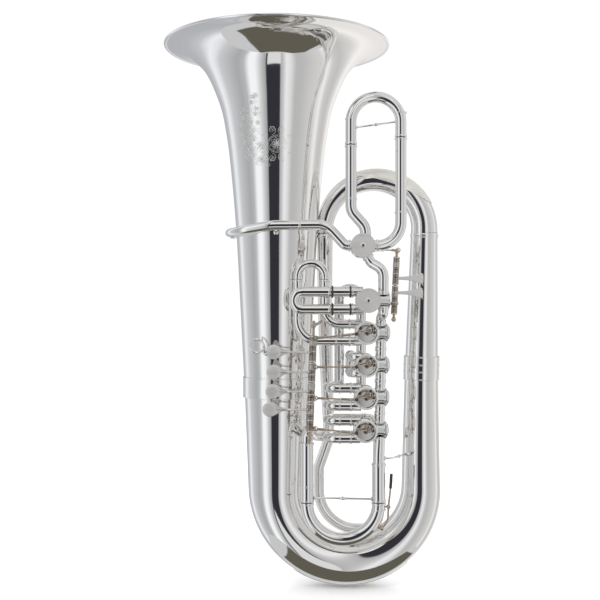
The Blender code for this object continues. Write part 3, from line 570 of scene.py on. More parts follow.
def make_bow():
    points = bow_path()
    radii = tapered(points, BOW_TAPER)
    bow = Shape()
    bow.tube(points, radii, 96)
    fixed("bottom_bow", bow)
    ferrule("bell_ferrule", (BELL_X, 0, 372), UP, 62.5, 38)
    rings = ((6.5, 2.4, 1.7), (-6.5, 2.4, 1.7))
    ferrule("branch_ferrule", (BRANCH_X, 0, BRANCH_JOINT_Z), (0.02, 0, 1), 32.7, 44, rings)
    guard = Shape()
    low, high = radians(-124), radians(-52)
    rows, across = 48, 16
    corners = []
    for i in range(rows + 1):
        share = i / rows
        angle = low + (high - low) * share
        size = eased(BOW_TAPER, min(max(0.22 + (degrees(angle) + 180) / 180 * 0.5, 0), 1))
        edge = 0.26 * min(1, (sin(pi * share) + 0.02) ** 0.35)
        for lean, lift in guard_section(across, edge, 0.3, 2.1, 1.2):
            reach = BOW_RADIUS + (size + lift) * cos(lean)
            y = (size + lift) * sin(lean)
            corners.append(at(BOW_X + reach * cos(angle), y, BOW_Z + reach * sin(angle)))
    lowest = min(corner.z for corner in corners)
    sunk = at(0, 0, min(lowest, 0))
    guard.strip([corner - sunk for corner in corners], 2 * across, SILVER)
    fixed("bottom_bow_guard", guard)


def top_point(share):
    angle = pi * share
    lean = 20 * (0.5 - 0.5 * cos(angle))
    return at(TOP_X + TOP_RADIUS * cos(angle), lean, TOP_Z + TOP_RADIUS * sin(angle))


def make_top():
    right = at(BRANCH_X, 0, BRANCH_JOINT_Z)
    branch = Shape()
    points = [right.lerp(top_point(0) - up(8.2), i / 20) for i in range(21)]
    branch.tube(points, [31 - 6 * i / 20 for i in range(21)], 80)
    branch.band(points[-1] - up(4.5), (0.02, 0, 1), 24.8, 26.6, 6, SILVER, 96)
    branch.band(points[-1] - up(9), (0.02, 0, 1), 24.8, 26, 2, SILVER, 96)
    fixed("outer_branch", branch)

    stub = up(8)
    bow = [top_point(i / 60) for i in range(61)]
    bow = [bow[0] - stub] + bow + [bow[-1] - stub]
    top = Shape()
    top.tube(bow, tapered(bow, TOP_TAPER), 72)
    top.band(bow[-1] + up(3.2), UP, 15, 16.9, 6)
    fixed("top_bow", top)

    guard = Shape()
    rows, across = 40, 14
    corners = []
    for i in range(rows + 1):
        share = 0.135 + 0.49 * i / rows
        angle = pi * share
        centre = top_point(share)
        out = at(cos(angle), 0, sin(angle))
        size = eased(TOP_TAPER, share)
        edge = 1.72 * min(1, (sin(pi * i / rows) + 0.03) ** 0.4)
        for lean, lift in guard_section(across, edge, 0.25, 1.3, 0.6):
            corners.append(centre + (out * cos(lean) + at(0, 1, 0) * sin(lean)) * (size + lift))
    guard.strip(corners, 2 * across, ETCHED)
    fixed("top_bow_guard", guard)

    joint = stub + up(1)
    head = at(50, 38, 280)
    start = top_point(1) - joint
    middle = [(42.5, 23, 560), (45, 30, 420)]
    path = through([start, start - stub, *middle, head + stub, head], 9)
    inner = Shape()
    radii = tapered(path, ((0, 15.2), (0.3, 13.9), (0.65, 12.4), (1, 11)))
    inner.tube(path, radii, 48)
    inner.band(path[0] - up(4), UP, 15, 16.9, 6)
    inner.band(path[-1] + up(4), UP, 10.9, 12.6, 6)
    fixed("inner_branch", inner)

    corners = [
        (50, 38, 279.7), (50, 38, 268), (31, 38, 214), (31, 38, 96.5), (145, 38, 96.5),
        (145, 38, 281), (118, -8, 281), (21, -8, 281), (7.5, -75, 303), (7.5, -75, 279),
    ]
    loop = Shape()
    path = rounded(corners, [12, 30, 75, 28, 22, 20, 22, 15])
    loop.sweep(path, 10.6, SILVER, 44)
    loop.band(path[0] - up(4), UP, 10.5, 12.2, 6)
    for x, z in ((31, 190), (145, 200), (145, 150)):
        loop.band((x, 38, z), UP, 10.5, 11.9, 4)
    fixed("crossing_loop", loop)


# Valves


def casing(centre, front):
    """A turned case, its bearing plate, the stop-arm ring and its bumpers."""
    shape = Shape()
    profile = [
        (0, -22.6), (5.2, -22.6), (5.8, -22), (11.6, -22), (13, -21), (17, -19.9),
        (19.2, -19.6), (20.4, -19), (20.4, -16.6), (19.4, -16), (19.4, 16.6), (20.3, 17.2),
        (20.3, 20.6), (20.6, 21), (20.6, 27.4), (20.1, 28), (17.4, 28), (16.9, 27.4),
        (16.9, 22), (5.2, 22), (5.2, 22.6), (3.2, 22.6), (3.2, 19.5), (16.5, 19.5),
        (16.5, -17), (0, -17),
    ]
    axis = at(0, front, 0)
    shape.lathe(profile, centre, axis, SILVER, 72)
    for height in (17, -16.3):
        shape.band(Vector(centre) + axis * height, axis, 19.2, 19.55, 0.5, SEAM, 72)
    face = Vector(centre) + axis * 22
    for angle in (205, 335):
        away = at(cos(radians(angle)), 0, sin(radians(angle))) * 13.2
        shape.screw(face + away, axis, 1.7, SATIN)
    way = -front
    for x, z, size in ((12.6, 1, 2.7), (11.4, 7.2, 2.7), (8, 12.2, 2.3), (-11.6, 8.6, 2.6)):
        spot = face + at(x, 0, z * way)
        shape.rod(spot, spot + axis * 5.2, size, RUBBER, 20)
        shape.rod(spot - axis * 0.2, spot + axis * 1.2, size + 0.5, NICKEL, 20)
    ring = [(17.2, 5.4), (20.4, 5.4), (20.4, 6.15), (20, 6.4), (17.6, 6.4), (17.2, 6.15)]
    shape.lathe(ring, face, axis, ETCHED, 72, closed=True)
    arc = [at(13.4 * cos(a), 0, 13.4 * sin(a) * way) for a in (0.75, 1.1, 1.57, 2.04, 2.39)]
    shape.sweep([face + spot + axis * 1.5 for spot in arc], 1.5, NICKEL, 16)
    return shape


def rotor(number, centre, front):
    centre, axis = Vector(centre), at(0, front, 0)
    shape = Shape()
    profile = [(0, -16.5), (15.3, -16.5), (15.8, -16), (15.8, 18.5), (15.3, 19), (2.6, 19)]
    profile += [(2.6, 22.8), (4.2, 22.8), (4.6, 23.2), (4.6, 27.8), (4.2, 28.2), (0, 28.2)]
    shape.lathe(profile, centre, axis, NICKEL, 48)
    shape.screw(centre + axis * 28.1, axis, 2.9, SEAM, 0.7)
    rise = STOP_PIN if front < 0 else -STOP_PIN
    tip = centre + at(STOP_PIN, 0, rise) + axis * 24.8
    hub = centre + axis * 24.8
    shape.sweep([hub, hub.lerp(tip, 0.5), tip], [3, 2.4, 2.1], HINGE, 20)
    shape.orb(tip, 2.3, HINGE, 20)
    shape.rod(tip - axis * 1.4, tip + axis * 13, 1.3, NICKEL, 18)
    shape.screw(tip + axis * 12.8, axis, 2, NICKEL, 1.2)
    piece(f"valve{number}_rotor", f"rotor{number}", "nickel_silver", shape, f"valve{number}_rotor")


def crook(name, corners, bend, leg, outer, inset, rings=(), extra=None, rise=1.4):
    """A slide: a crook with a thinner leg at each end, and a ring where each leg starts."""
    points = rounded(corners, bend)
    first, last = points[0], points[-1]
    into, out = (points[1] - first).normalized(), (points[-2] - last).normalized()
    path = [first, first + into * inset, first + into * (inset + 0.6)]
    path += points[1:-1]
    path += [last + out * (inset + 0.6), last + out * inset, last]
    radii = [leg] * 2 + [outer] * (len(path) - 4) + [leg] * 2
    shape = extra or Shape()
    shape.sweep(path, radii, SILVER, 44, 1)
    for end, way in ((first, into), (last, out)):
        shape.rings([end + way * (inset + 2.6)], way, outer, 4, rise)
    for place in rings:
        shape.rings([place], UP, outer, 2.6, 1.1)
    moving(name, shape, "silver_plate")


def back_and_along(x, z, end):
    """Corners from a valve's side, back behind its neighbour's tubes and along to the end."""
    return [(x - 8, VALVE_Y, z), (45.2, VALVE_Y, z), (45.2, BACK_Y, z), (end, BACK_Y, z)]


def make_main_valves():
    y = -72
    x, _, z = VALVES[0]
    left, right, top = -9.3, 39.4, 570
    case = casing(VALVES[0], -1)
    for end, rise, bend in ((right, 15, 28), (left, -15, 38)):
        case.pipe([(x - 8, y, z + rise), (end, y, z + rise), (end, y, top)], bend, 8.6, 1.3)
    case.rings([(left, y, top - 2), (right, y, top - 2)], UP, 8.6, 4)
    case.rings([(right, y, z + 46), (left, y, z + 26)], UP, 8.6, 3)
    case.rings([(84, y, z + 15), (84, y, z - 15), (60, y, z - 15)], RIGHT, 8.6, 3)
    case.stay((left + 8, y, 520), (right - 8, y, 520), 1.7)
    neck(case, 0)
    fixed("valve1_casing", case)
    corners = [(left, y, 526), (left, y, 600), (right, y, 600), (right, y, 526)]
    crook("slide1", corners, 24.3, 6.9, 7.9, 44.3, rise=0.2)

    x, _, z = VALVES[1]
    case = casing(VALVES[1], -1)
    for rise in (14.5, -14.5):
        run = [(x - 8, VALVE_Y, z + rise), (88, VALVE_Y, z + rise), (88, -28, z + rise)]
        case.pipe(run, 12, 8.6, 1.3)
        case.rings([(88, -31, z + rise), (88, -52, z + rise)], (0, 1, 0), 8.6, 3.4, 1.3)
    neck(case, 1)
    fixed("valve2_casing", case)
    corners = [(88, -55, z + 14.5), (88, -4, z + 14.5), (88, -4, z - 14.5), (88, -55, z - 14.5)]
    crook("slide2", corners, 14.4, 6.9, 8.2, 27.3)

    x, _, z = VALVES[2]
    case = casing(VALVES[2], -1)
    for end, rise, bends in ((67, 16, [17.9, 10, 11]), (107, -16, [17.9, 17.9, 20])):
        run = back_and_along(x, z + rise, end) + [(end, BACK_Y, 486)]
        case.pipe(run, bends, 9, TUBE_WALL)
    case.rings([(67, BACK_Y, 484), (107, BACK_Y, 484)], UP, 9, 4)
    places = [(along, VALVE_Y, z + rise) for along in (86, 66) for rise in (16, -16)]
    case.rings(places, RIGHT, 9, 2.6, 1.3)
    neck(case, 2)
    fixed("valve3_casing", case)
    corners = [(67, BACK_Y, 426), (67, BACK_Y, 555), (107, BACK_Y, 555), (107, BACK_Y, 426)]
    crook("slide3", corners, 19.9, 7.4, 9, 60.3)

    x, _, z = VALVES[3]
    case = casing(VALVES[3], -1)
    for rise in (16, -16):
        case.pipe(back_and_along(x, z + rise, 112), 17.9, 9, TUBE_WALL)
        places = [(110, BACK_Y, z + rise), (86, VALVE_Y, z + rise), (66, VALVE_Y, z + rise)]
        case.rings(places, RIGHT, 9, 2.8, 1.3)
    neck(case, 3)
    fixed("valve4_casing", case)
    ends = (68, 16), (135, 16), (135, -16), (68, -16)
    corners = [(along, BACK_Y, z + rise) for along, rise in ends]
    crook("slide4", corners, 15.9, 7.4, 9, 44.3)
    for number, centre in enumerate(VALVES, 1):
        rotor(number, centre, -1)


def neck(case, index):
    """The port chamber on the outer side, with its ferrules."""
    centre = Vector(VALVES[index])
    case.rod(centre + at(15.4, 0, 0), centre + at(36.5, 0, 0), 11.5, SILVER, 48, 0.8)
    for out, rise in ((21.5, 13), (34.8, 13.4)):
        case.band(centre + at(out, 0, 0), RIGHT, 11.3, rise, 3)


def make_side_valves():
    x, y, z = FIFTH
    left, right, left_end, right_end = 86, 175, 810, 823
    case = casing(FIFTH, 1)
    rise = [(x + 6, y, z + 12), (x + 6, y, z + 34), (left, y, z + 63), (left, y, left_end)]
    case.pipe(rise, 26, 10, 1.6)
    turn = [(x + 10, y, z + 1), (right, y, z + 1), (right, y, right_end)]
    case.pipe(turn, 42, 10, 1.6)
    case.rings([(left, y, left_end - 2), (right, y, right_end - 2)], UP, 10, 4)
    case.rings([(left, y, 714), (right, y, 690)], UP, 10, 3.4)
    case.rings([(x + 27, y, z + 1)], RIGHT, 10, 3.4)
    fixed("valve5_casing", case)
    twist = Shape()
    twist.stay((left + 9, y, 842), (right - 9, y, 852), 1.6)
    corners = [(left, y, 715), (left, y, 896), (right, y, 896), (right, y, 728)]
    rings = [(left, y, 857), (right, y, 868)]
    crook("slide5", corners, 44.4, 8, 10, 95.3, rings, twist)

    x, y, z = SIXTH
    case = casing(SIXTH, 1)
    for rise in (15.5, -15.5):
        case.sweep([at(x - 8, y, z + rise), at(50.3, y, z + rise)], 9.5, SILVER, 44, 1.3)
        case.band((52.4, y, z + rise), RIGHT, 9.3, 10.9, 3.6, SEAM)
        case.band((84.5, y, z + rise), RIGHT, 9.3, 10.6, 3.2, SEAM)
        case.band((88.2, y, z + rise), RIGHT, 9.3, 10.7, 2.8)
    case.rod((x + 15.4, y, z), (x + 40, y, z), 10.5, SILVER, 48, 0.8)
    case.band((x + 38, y, z), RIGHT, 10.3, 12, 3.4)
    fixed("valve6_casing", case)
    corners = [(86, y, z + 15.5), (-15.5, y, z + 15.5), (-15.5, y, z - 15.5), (86, y, z - 15.5)]
    crook("slide6", corners, 15.4, 7.8, 9.3, 36.3)
    for number, centre in ((5, FIFTH), (6, SIXTH)):
        rotor(number, centre, 1)
        cap = Shape()
        profile = [(0, 22.3), (21.2, 22.3), (21.6, 22.8), (21.6, 25.2), (21, 26.3), (17.6, 26.3)]
        profile += [(17.2, 26), (16.9, 26.3), (6.4, 26.6), (5.9, 26.2), (5.4, 26.7), (4.4, 27.1)]
        profile.append((0, 27.1))
        cap.lathe(profile, centre, FRONT, SATIN, 96)
        front = Vector(centre) + at(0, -26.3, 0)
        for i in range(48):
            angle = radians(7.5 * i)
            edge = at(cos(angle), 0, sin(angle)) * 21.5
            low = Vector(centre) + edge + at(0, -23, 0)
            cap.rod(low, low + at(0, -2.2, 0), 0.45, SATIN, 6, 0.1)
        cap.orb(front + at(0, -0.2, 0), 3.4, SILVER, 32, 0.5, (0, 1, 0))
        cap.screw(front + at(0, -0.9, 0), FRONT, 2.3, SEAM, 1)
        fixed(f"valve{number}_cap", cap, "satin_silver")


def make_line():
    reach = up(11.8)
    places = [at(x + 26.5, y, z) for x, y, z in VALVES]
    for i in range(3):
        knuckle = Shape()
        low, high = places[i + 1] + reach, places[i] - reach
        knuckle.tube([low, low.lerp(high, 0.5), high], LINE_RADIUS, 40)
        way = (high - low).normalized()
        knuckle.rings([low + way * 3, high - way * 3], way, LINE_RADIUS, 4)
        knuckle.band(low.lerp(high, 0.5), way, 9, 10.2, 8)
        fixed(f"knuckle_{i + 1}_{i + 2}", knuckle)
    sixth, fifth = Vector(SIXTH), Vector(FIFTH)
    last = sixth + at(28, 0, -10.8)
    first = places[0] + reach
    link = Shape()
    path = rounded([last, (last.x, last.y, 511), (first.x, first.y, 502), first], 8)
    link.tube(path, LINE_RADIUS, 40)
    link.rings([path[0] - up(3), path[-1] + up(3)], UP, LINE_RADIUS, 4)
    fixed("knuckle_6_1", link)
    way = at(9.6, 0, -18).normalized()
    first = fifth + way * 19.7
    end = sixth + at(28, 0, 10.8)
    path = rounded([first, first + way * 14, at(end.x, end.y, 588), end], [14, 22])
    pipe = Shape()
    pipe.tube(path, LINE_RADIUS, 40)
    pipe.band(path[0] + way * 3, way, 9, 10.7, 4)
    pipe.band(end + up(3), UP, 9, 10.7, 4)
    fixed("s_pipe", pipe)
    for i, (x, y, z) in enumerate(VALVES, 1):
        cap = Shape()
        profile = [(0, 0), (14.4, 0), (15, 0.5), (15, 1.6), (14.2, 2.2), (13.4, 2.3)]
        profile += [(11.5, 4.2), (6, 6), (0, 6.5)]
        cap.lathe(profile, (x + 36.8, y, z), RIGHT, SILVER, 64)
        for k in range(36):
            angle = radians(10 * k)
            edge = at(0, cos(angle), sin(angle)) * 14.75
            low = at(x + 37.1, y, z) + edge
            cap.rod(low, low + at(1.6, 0, 0), 0.5, SILVER, 6, 0.1)
        fixed(f"port_cap{i}", cap)


# Main slide, water key, leadpipe


def make_main_slide():
    y, left, right, joint = -75, 7.5, 136.2, 172
    head = at(137.7, y, 289.5)
    tubes = Shape()
    path = [head, head - up(8)] + [(right, y, z) for z in (256, 244, 242.5, 242, joint)]
    tubes.sweep(path, [9.6, 9.8, 10.6, 10.7, 11.2, 12.1, 12.1], SILVER, 48, 1.4)
    tubes.sweep([(left, y, 278.7), (left, y, joint)], 12.1, SILVER, 48, 1.4)
    places = [(right, y, 239), (right, y, 174.2)] + [(left, y, z) for z in (174.2, 200, 276)]
    tubes.rings(places, UP, 12.1, 3.6)
    tubes.rings([head - up(3.4)], UP, 9.6, 4)
    tubes.stay((left + 12, y, 179), (right - 12, y, 177), 1.9)
    fixed("tuning_slide_tubes", tubes)
    low = 169.4 - 64.35
    slide = Shape()
    for side in (-1, 1):
        slide.rod((144.8, y + side * 3.4, 163), (155.6, y + side * 3.4, 163), 1, NICKEL, 14)
    spout = [(0, 0), (4.8, 0), (4.2, 2.2), (3.6, 9), (3.6, 13.4), (0, 13.4)]
    slide.lathe(spout, (126, y, 132), (12.5, 0, -5.5), NICKEL, 28)
    corners = [(left, y, 234), (left, y, low), (right, y, low), (right, y, 234)]
    crook("tuning_slide", corners, 64.25, 10.2, 12.1, 62.3, [(right, y, 158)], slide)

    key = Shape()
    places = ((159, 222), (157.4, 196), (153.8, 163), (152, 140), (143.5, 124.6))
    arm = through([(x, y, z) for x, z in places], 8)
    key.sweep(arm, tapered(arm, ((0, 2), (0.25, 1.8), (0.6, 1.9), (1, 1.7))), NICKEL, 24)
    key.sweep(arm[:9], 2.7, RUBBER, 24)
    key.rod((153.8, y - 2.2, 163), (153.8, y + 2.2, 163), 3, NICKEL, 28)
    key.screw((153.8, y - 2.2, 163), FRONT, 2, SATIN, 0.8)
    key.rod((140.4, y, 125.7), (144.5, y, 123.9), 4.4, NICKEL, 28)
    key.rod((139, y, 126.3), (140.8, y, 125.5), 3.7, CORK, 28)
    coil = []
    for i in range(63):
        turn = i * 0.5
        coil.append(at(153.8 + 3.9 * cos(turn), y - 1.7 + i * 0.055, 163 + 3.9 * sin(turn)))
    key.sweep(coil, 0.35, SATIN, 8)
    moving("water_key", key, "nickel_silver")


def make_leadpipe():
    x, y, z = FIFTH
    corners = [(x - 19.7, y, z + 1), (76, y, z + 1), (42, -88, 668)]
    corners += [(-58, -91, 667), (-134, -72, 655), (-136, 60, 662)]
    path = split(rounded(corners, [14, 34, 60, 48]))
    pipe = Shape()
    pipe.tube(path, tapered(path, ((0, 9.4), (0.45, 8.6), (1, 5.9))), 44)
    pipe.band(path[0] - at(3, 0, 0), RIGHT, 9.2, 10.9, 4)
    pipe.band((-6, -89.9, 667.3), (1, 0.03, 0), 8.4, 9.8, 4)
    pipe.stay((-48, -85.5, 659.5), (-48, -75.5, 655), 2)
    fixed("leadpipe", pipe)
    along = path[-1] - path[-2]
    profile = [(6.3, -14), (7.2, -14), (7.8, -12.5), (8, -11), (7.6, -9.5), (8.2, 28)]
    profile += [(9.2, 29.4), (8.4, 31), (9.4, 33), (9.4, 37.2), (8.9, 38), (7.8, 38)]
    profile += [(7.4, 37.2), (6.4, 0)]
    sleeve = Shape()
    sleeve.lathe(profile, path[-1], along, SILVER, 64, closed=True)
    fixed("mouthpiece_receiver", sleeve)


# Levers


def teardrop(radius, tail):
    """A round plate that narrows in a long curve to its arm."""
    outline = []
    for i in range(33):
        angle = radians(50 + 260 * i / 32)
        outline.append((radius * cos(angle), radius * sin(angle)))
    side = [(0.86, 0.69), (1.1, 0.53), (1.4, 0.37), (1.75, 0.25), (2.15, 0.18)]
    flank = [(radius * along, radius * across) for along, across in side] + [(tail, 2)]
    return outline + [(along, -across) for along, across in flank] + flank[::-1]


def barrel(shape, hinge, low, high, radius):
    """The hinge tube: three knuckles with dark seams, rings and a coiled return spring."""
    start, end = on_hinge(hinge, low), on_hinge(hinge, high)
    way = (end - start).normalized()
    length = (end - start).length
    bore, seams = 2.9, (0.28, 0.55)
    profile = [(bore, 0.2), (radius - 0.4, 0.2), (radius, 0.7)]
    for height in [length * share for share in seams]:
        profile += [(radius, height - 0.5), (radius - 0.8, height - 0.2)]
        profile += [(radius - 0.8, height + 0.2), (radius, height + 0.5)]
    profile += [(radius, length - 0.7), (radius - 0.4, length - 0.2), (bore, length - 0.2)]
    shape.lathe(profile, start, way, HINGE, 44, closed=True)
    for share in seams:
        shape.band(start + way * length * share, way, radius - 1.2, radius - 0.7, 0.9, SEAM, 40)
    rings = (start + way * 1.8, 0.5, 1.8), (end - way * 1.8, 0.5, 1.8)
    for place, rise, width in *rings, (start + way * length * 0.41, 0.35, 1.4):
        shape.band(place, way, radius - 0.3, radius + rise, width, SATIN, 40)
    side = way.orthogonal().normalized()
    other = way.cross(side)
    coil = []
    for i in range(97):
        angle = 2 * pi * i / 16
        along = length * 0.62 + i / 96 * min(length * 0.26, 9)
        out = side * cos(angle) + other * sin(angle)
        coil.append(start + way * along + out * (radius + 0.25))
    shape.sweep(coil, 0.45, SATIN, 8)


def flat_at(centre):
    """Where a plate that faces the front lies."""
    return Matrix.Translation(centre) @ turned_to(FRONT).to_4x4()


def make_paddles():
    levers = zip(PADDLE_SPANS, PADDLE_PLATES, HORN_Z)
    for number, ((low, high), (x, z), horn_z) in enumerate(levers, 1):
        shape = Shape()
        barrel(shape, PADDLE_ROD, low, high, 6.4)
        root = on_hinge(PADDLE_ROD, z - 1.5) + at(-3.7, -4.7, 0)
        arm = through([root, (-4, -101, z - 1), (-26, PLATE_Y, z), (x + 8, PLATE_Y, z)], 8)
        shape.sweep(arm, tapered(arm, ((0, 2.2), (0.3, 1.7), (1, 1.5))), SILVER, 24)
        shape.orb(root, 3.2, HINGE, 24)
        place = flat_at((x, PLATE_Y, z))
        shape.slab(teardrop(PLATE_R, 34), place, 2.4, SATIN, 0.7)
        dome = [(0, -1), (11.2, -1), (11.6, 1.2), (11, 1.45), (6, 1.6), (0, 1.65)]
        shape.lathe(dome, (x, PLATE_Y, z), FRONT, SATIN, 56)
        base = on_hinge(PADDLE_ROD, min(max(horn_z, low + 4), high - 4)) + at(3.3, -4.3, 0)
        horn = [base, (HORN_X, LINK_Y + 3.4, horn_z), (HORN_X, LINK_Y - 3, horn_z)]
        shape.sweep(horn, [2.4, 1.8, 1.7], NICKEL, 20)
        shape.orb((HORN_X, LINK_Y - 3.2, horn_z), 2.2, NICKEL, 20)
        moving(f"paddle{number}", shape, "satin_silver")
    rod = Shape()
    foot, head = PADDLE_ROD
    rod.rod(foot, head, 2.4, NICKEL)
    way = (head - foot).normalized()
    for place, sign in ((foot, -1), (head, 1)):
        rod.orb(place, 4.2, NICKEL, 32)
        rod.rod(place, place + way * sign * 6.5, 2.6, NICKEL)
        rod.orb(place + way * sign * 6.5, 3, NICKEL, 24)
    rod.rod(head, (34.5, -82, 496), 2.6, NICKEL)
    fixed("paddle_hinge_rod", rod, "nickel_silver")


def ring_eye(shape, centre, inner, outer, look):
    profile = [(inner, -1), (outer - 0.4, -1), (outer, -0.6)]
    profile += [(outer, 0.6), (outer - 0.4, 1), (inner, 1)]
    shape.lathe(profile, centre, FRONT, look, 32, closed=True)


def make_link(number, start, ball_place, pin):
    start, ball_place, pin = Vector(start), Vector(ball_place), Vector(pin)
    way = (ball_place - start).normalized()
    length = (ball_place - start).length
    shape = Shape()
    ring_eye(shape, start, 3.1, 4.6, NICKEL)
    shape.rod(start + way * 4, ball_place, 1.25, NICKEL, 20)
    shape.rod(start + way * 4, start + way * (4 + length * 0.14), 2.2, NICKEL, 24)
    shape.band(start + way * (5 + length * 0.14), way, 1.2, 2.7, 1.6, NICKEL, 24)
    shape.rod(start + way * length * 0.6, ball_place - way * 3, 2.3, NICKEL, 24)
    shape.band(start + way * (length * 0.6 + 1.2), way, 2.2, 2.9, 1.6, SATIN, 24)
    shape.band(start + way * (length * 0.86), way, 2.2, 2.8, 1.4, SATIN, 24)
    shape.orb(ball_place, 3.3, SEAM, 32)
    shape.band(ball_place, (0, 1, 0), 3.1, 3.5, 1.4, NICKEL, 32)
    reach = (pin - ball_place).normalized()
    shape.rod(ball_place, pin - reach * 5.6, 1.4, NICKEL, 20)
    ring_eye(shape, pin, 4.8, 6.6, NICKEL)
    moving(f"link{number}", shape, "nickel_silver")


def make_thumb_levers():
    levers = zip((FIFTH, SIXTH), THUMB_SPANS, THUMB_PLATE_Z)
    for number, (centre, (low, high), z) in enumerate(levers, 5):
        centre = Vector(centre)
        shape = Shape()
        barrel(shape, THUMB_ROD, low, high, 5.6)
        root = on_hinge(THUMB_ROD, z) + at(3, -2, 0)
        flank = [(0, 2.6), (10, 2.9), (24, 4.1), (36, 7.4), (44, 9.5), (46.4, 7.2)]
        outline = [(along, -across) for along, across in flank] + [(47, 0)] + flank[::-1]
        shape.slab(outline, flat_at(root), 2.4, SATIN, 0.6)
        link_z = centre.z - STOP_PIN
        near = on_hinge(THUMB_ROD, min(max(link_z, low + 4), high - 4))
        start = at(near.x + 5, THUMB_LINK_Y, link_z)
        horn = through([near + at(0, 4.3, 0), start - at(0, 4, 0), start + at(0, 3, 0)], 5)
        shape.sweep(horn, 1.4, NICKEL, 20)
        shape.orb(start + at(0, 3, 0), 2.2, NICKEL, 20)
        moving(f"thumb_lever{number}", shape, "satin_silver")
        pin_y = centre.y + 30.5
        pin = (centre.x + STOP_PIN, pin_y, link_z)
        make_link(number, start, (centre.x + 24, (pin_y + THUMB_LINK_Y) / 2, link_z), pin)
    rod = Shape()
    rod.rod(*THUMB_ROD, 2.4, NICKEL)
    for place in THUMB_ROD:
        rod.orb(place, 4.4, NICKEL, 32)
    fixed("thumb_hinge_rod", rod, "nickel_silver")


def make_fittings():
    centre = at(-83, -80, 452)
    facing = at(0.25, -0.85, 0.5).normalized()
    profile = [
        (13.5 + 2.2 * cos(radians(20 * i)), 2.2 * sin(radians(20 * i)))
        for i in range(18)
    ]
    ring = Shape()
    ring.lathe(profile, centre, facing, SILVER, 64, closed=True)
    foot = at(-67, -65, 440)
    away = foot - centre
    away -= facing * away.dot(facing)
    edge = centre + away.normalized() * 13.5
    inward = at(BELL_X - foot.x, -foot.y, 0).normalized()
    stem = through([edge, foot - inward * 6, foot + inward * 1], 6)
    ring.sweep(stem, 2.2, SILVER, 24)
    ring.lathe([(0, -0.6), (4.2, -0.6), (6.5, 1.2), (6.5, 2.6), (0, 2.6)], foot, inward, SILVER, 40)
    ring.screw(edge - away.normalized() * 0.2 + facing * 1.6, facing, 2.2, SATIN, 1.6)
    fixed("thumb_ring", ring)
    brace = Shape()
    start, end = at(147.6, -75, 250), at(BRANCH_X - 30, -27, 250)
    brace.sweep(through([start, start + at(8, 0, 0), end], 8), 2, SILVER, 24)
    flange = [(0, 0), (4.6, 0), (4.2, 0.9), (2.2, 2.4), (0, 2.4)]
    brace.lathe(flange, start, RIGHT, SILVER, 32)
    brace.orb(start.lerp(end, 0.55) + at(3, -2, 0), 3.4, SILVER, 28)
    brace.lathe(flange, end, start - end, SILVER, 32)
    fixed("branch_brace", brace)


def make_levers():
    make_paddles()
    for number, ((x, _, z), horn_z) in enumerate(zip(VALVES, HORN_Z), 1):
        ball_place = (LINK_BALL_X, LINK_Y, z - 1)
        pin = (x + STOP_PIN, LINK_Y + 5, z + STOP_PIN)
        make_link(number, (HORN_X, LINK_Y, horn_z), ball_place, pin)
    make_thumb_levers()


# Studio


# Brightness of the tent's wall round the instrument, by the bearing in degrees from the front:
# light bars to either side, grey between them, and the dark slit that the camera looks through.
WALL = (
    (-180, 0.66), (-160, 0.42), (-146, 0.44), (-134, 0.52), (-122, 0.82), (-114, 0.74),
    (-104, 0.55), (-86, 0.45), (-72, 0.38), (-60, 0.45), (-50, 0.88), (-40, 0.86),
    (-32, 0.6), (-25, 0.42), (-21, 0.34), (-19.5, 0.033), (5.5, 0.033), (7, 0.4),
    (12, 0.52), (18, 0.78), (26, 0.68), (36, 0.45), (48, 0.46), (66, 0.54),
    (84, 0.6), (96, 0.8), (106, 0.56), (120, 0.5), (134, 0.62), (146, 0.84),
    (160, 0.76), (180, 0.66),
)


def only_reflected(panel):
    """Part of the tent: it shows in the silver, and lights nothing else."""
    panel.visible_camera = False
    panel.visible_diffuse = False
    panel.visible_shadow = False


def glow(name):
    made, nodes, links = material(name)
    nodes.remove(nodes["Principled BSDF"])
    emission = nodes.new("ShaderNodeEmission")
    links.new(emission.outputs["Emission"], nodes["Material Output"].inputs["Surface"])
    return made, nodes, links, emission


def make_wall():
    bpy.ops.mesh.primitive_cylinder_add(
        vertices=96, radius=1.95, depth=3.9, end_fill_type="NOTHING", location=(0, 0, 0.35)
    )
    wall = bpy.context.object
    wall.name = "tent_wall"
    made, nodes, links, emission = glow("tent_wall")
    place = nodes.new("ShaderNodeTexCoord")
    turn = fill(nodes.new("ShaderNodeMapping"), Rotation=(0, 0, radians(90)))
    bearing = nodes.new("ShaderNodeTexGradient")
    bearing.gradient_type = "RADIAL"
    ramp = nodes.new("ShaderNodeValToRGB")
    stops = ramp.color_ramp.elements
    while len(stops) < len(WALL):
        stops.new(0.5)
    for stop, (angle, value) in zip(stops, WALL):
        stop.position = angle / 360 + 0.5
    for stop, (angle, value) in zip(stops, WALL):
        warm = 0.5 + angle / 360
        in_slit = value < 0.1
        bright = value if in_slit else value * 1.14
        red, blue = 0.945 + 0.06 * warm, (1.3 if in_slit else 1.04) - 0.07 * warm
        stop.color = (bright * red, bright * 0.985, bright * blue, 1)
    links.new(place.outputs["Object"], turn.inputs["Vector"])
    links.new(turn.outputs["Vector"], bearing.inputs["Vector"])
    links.new(bearing.outputs["Fac"], ramp.inputs["Fac"])
    links.new(ramp.outputs["Color"], emission.inputs["Color"])
    wall.data.materials.append(made)
    only_reflected(wall)


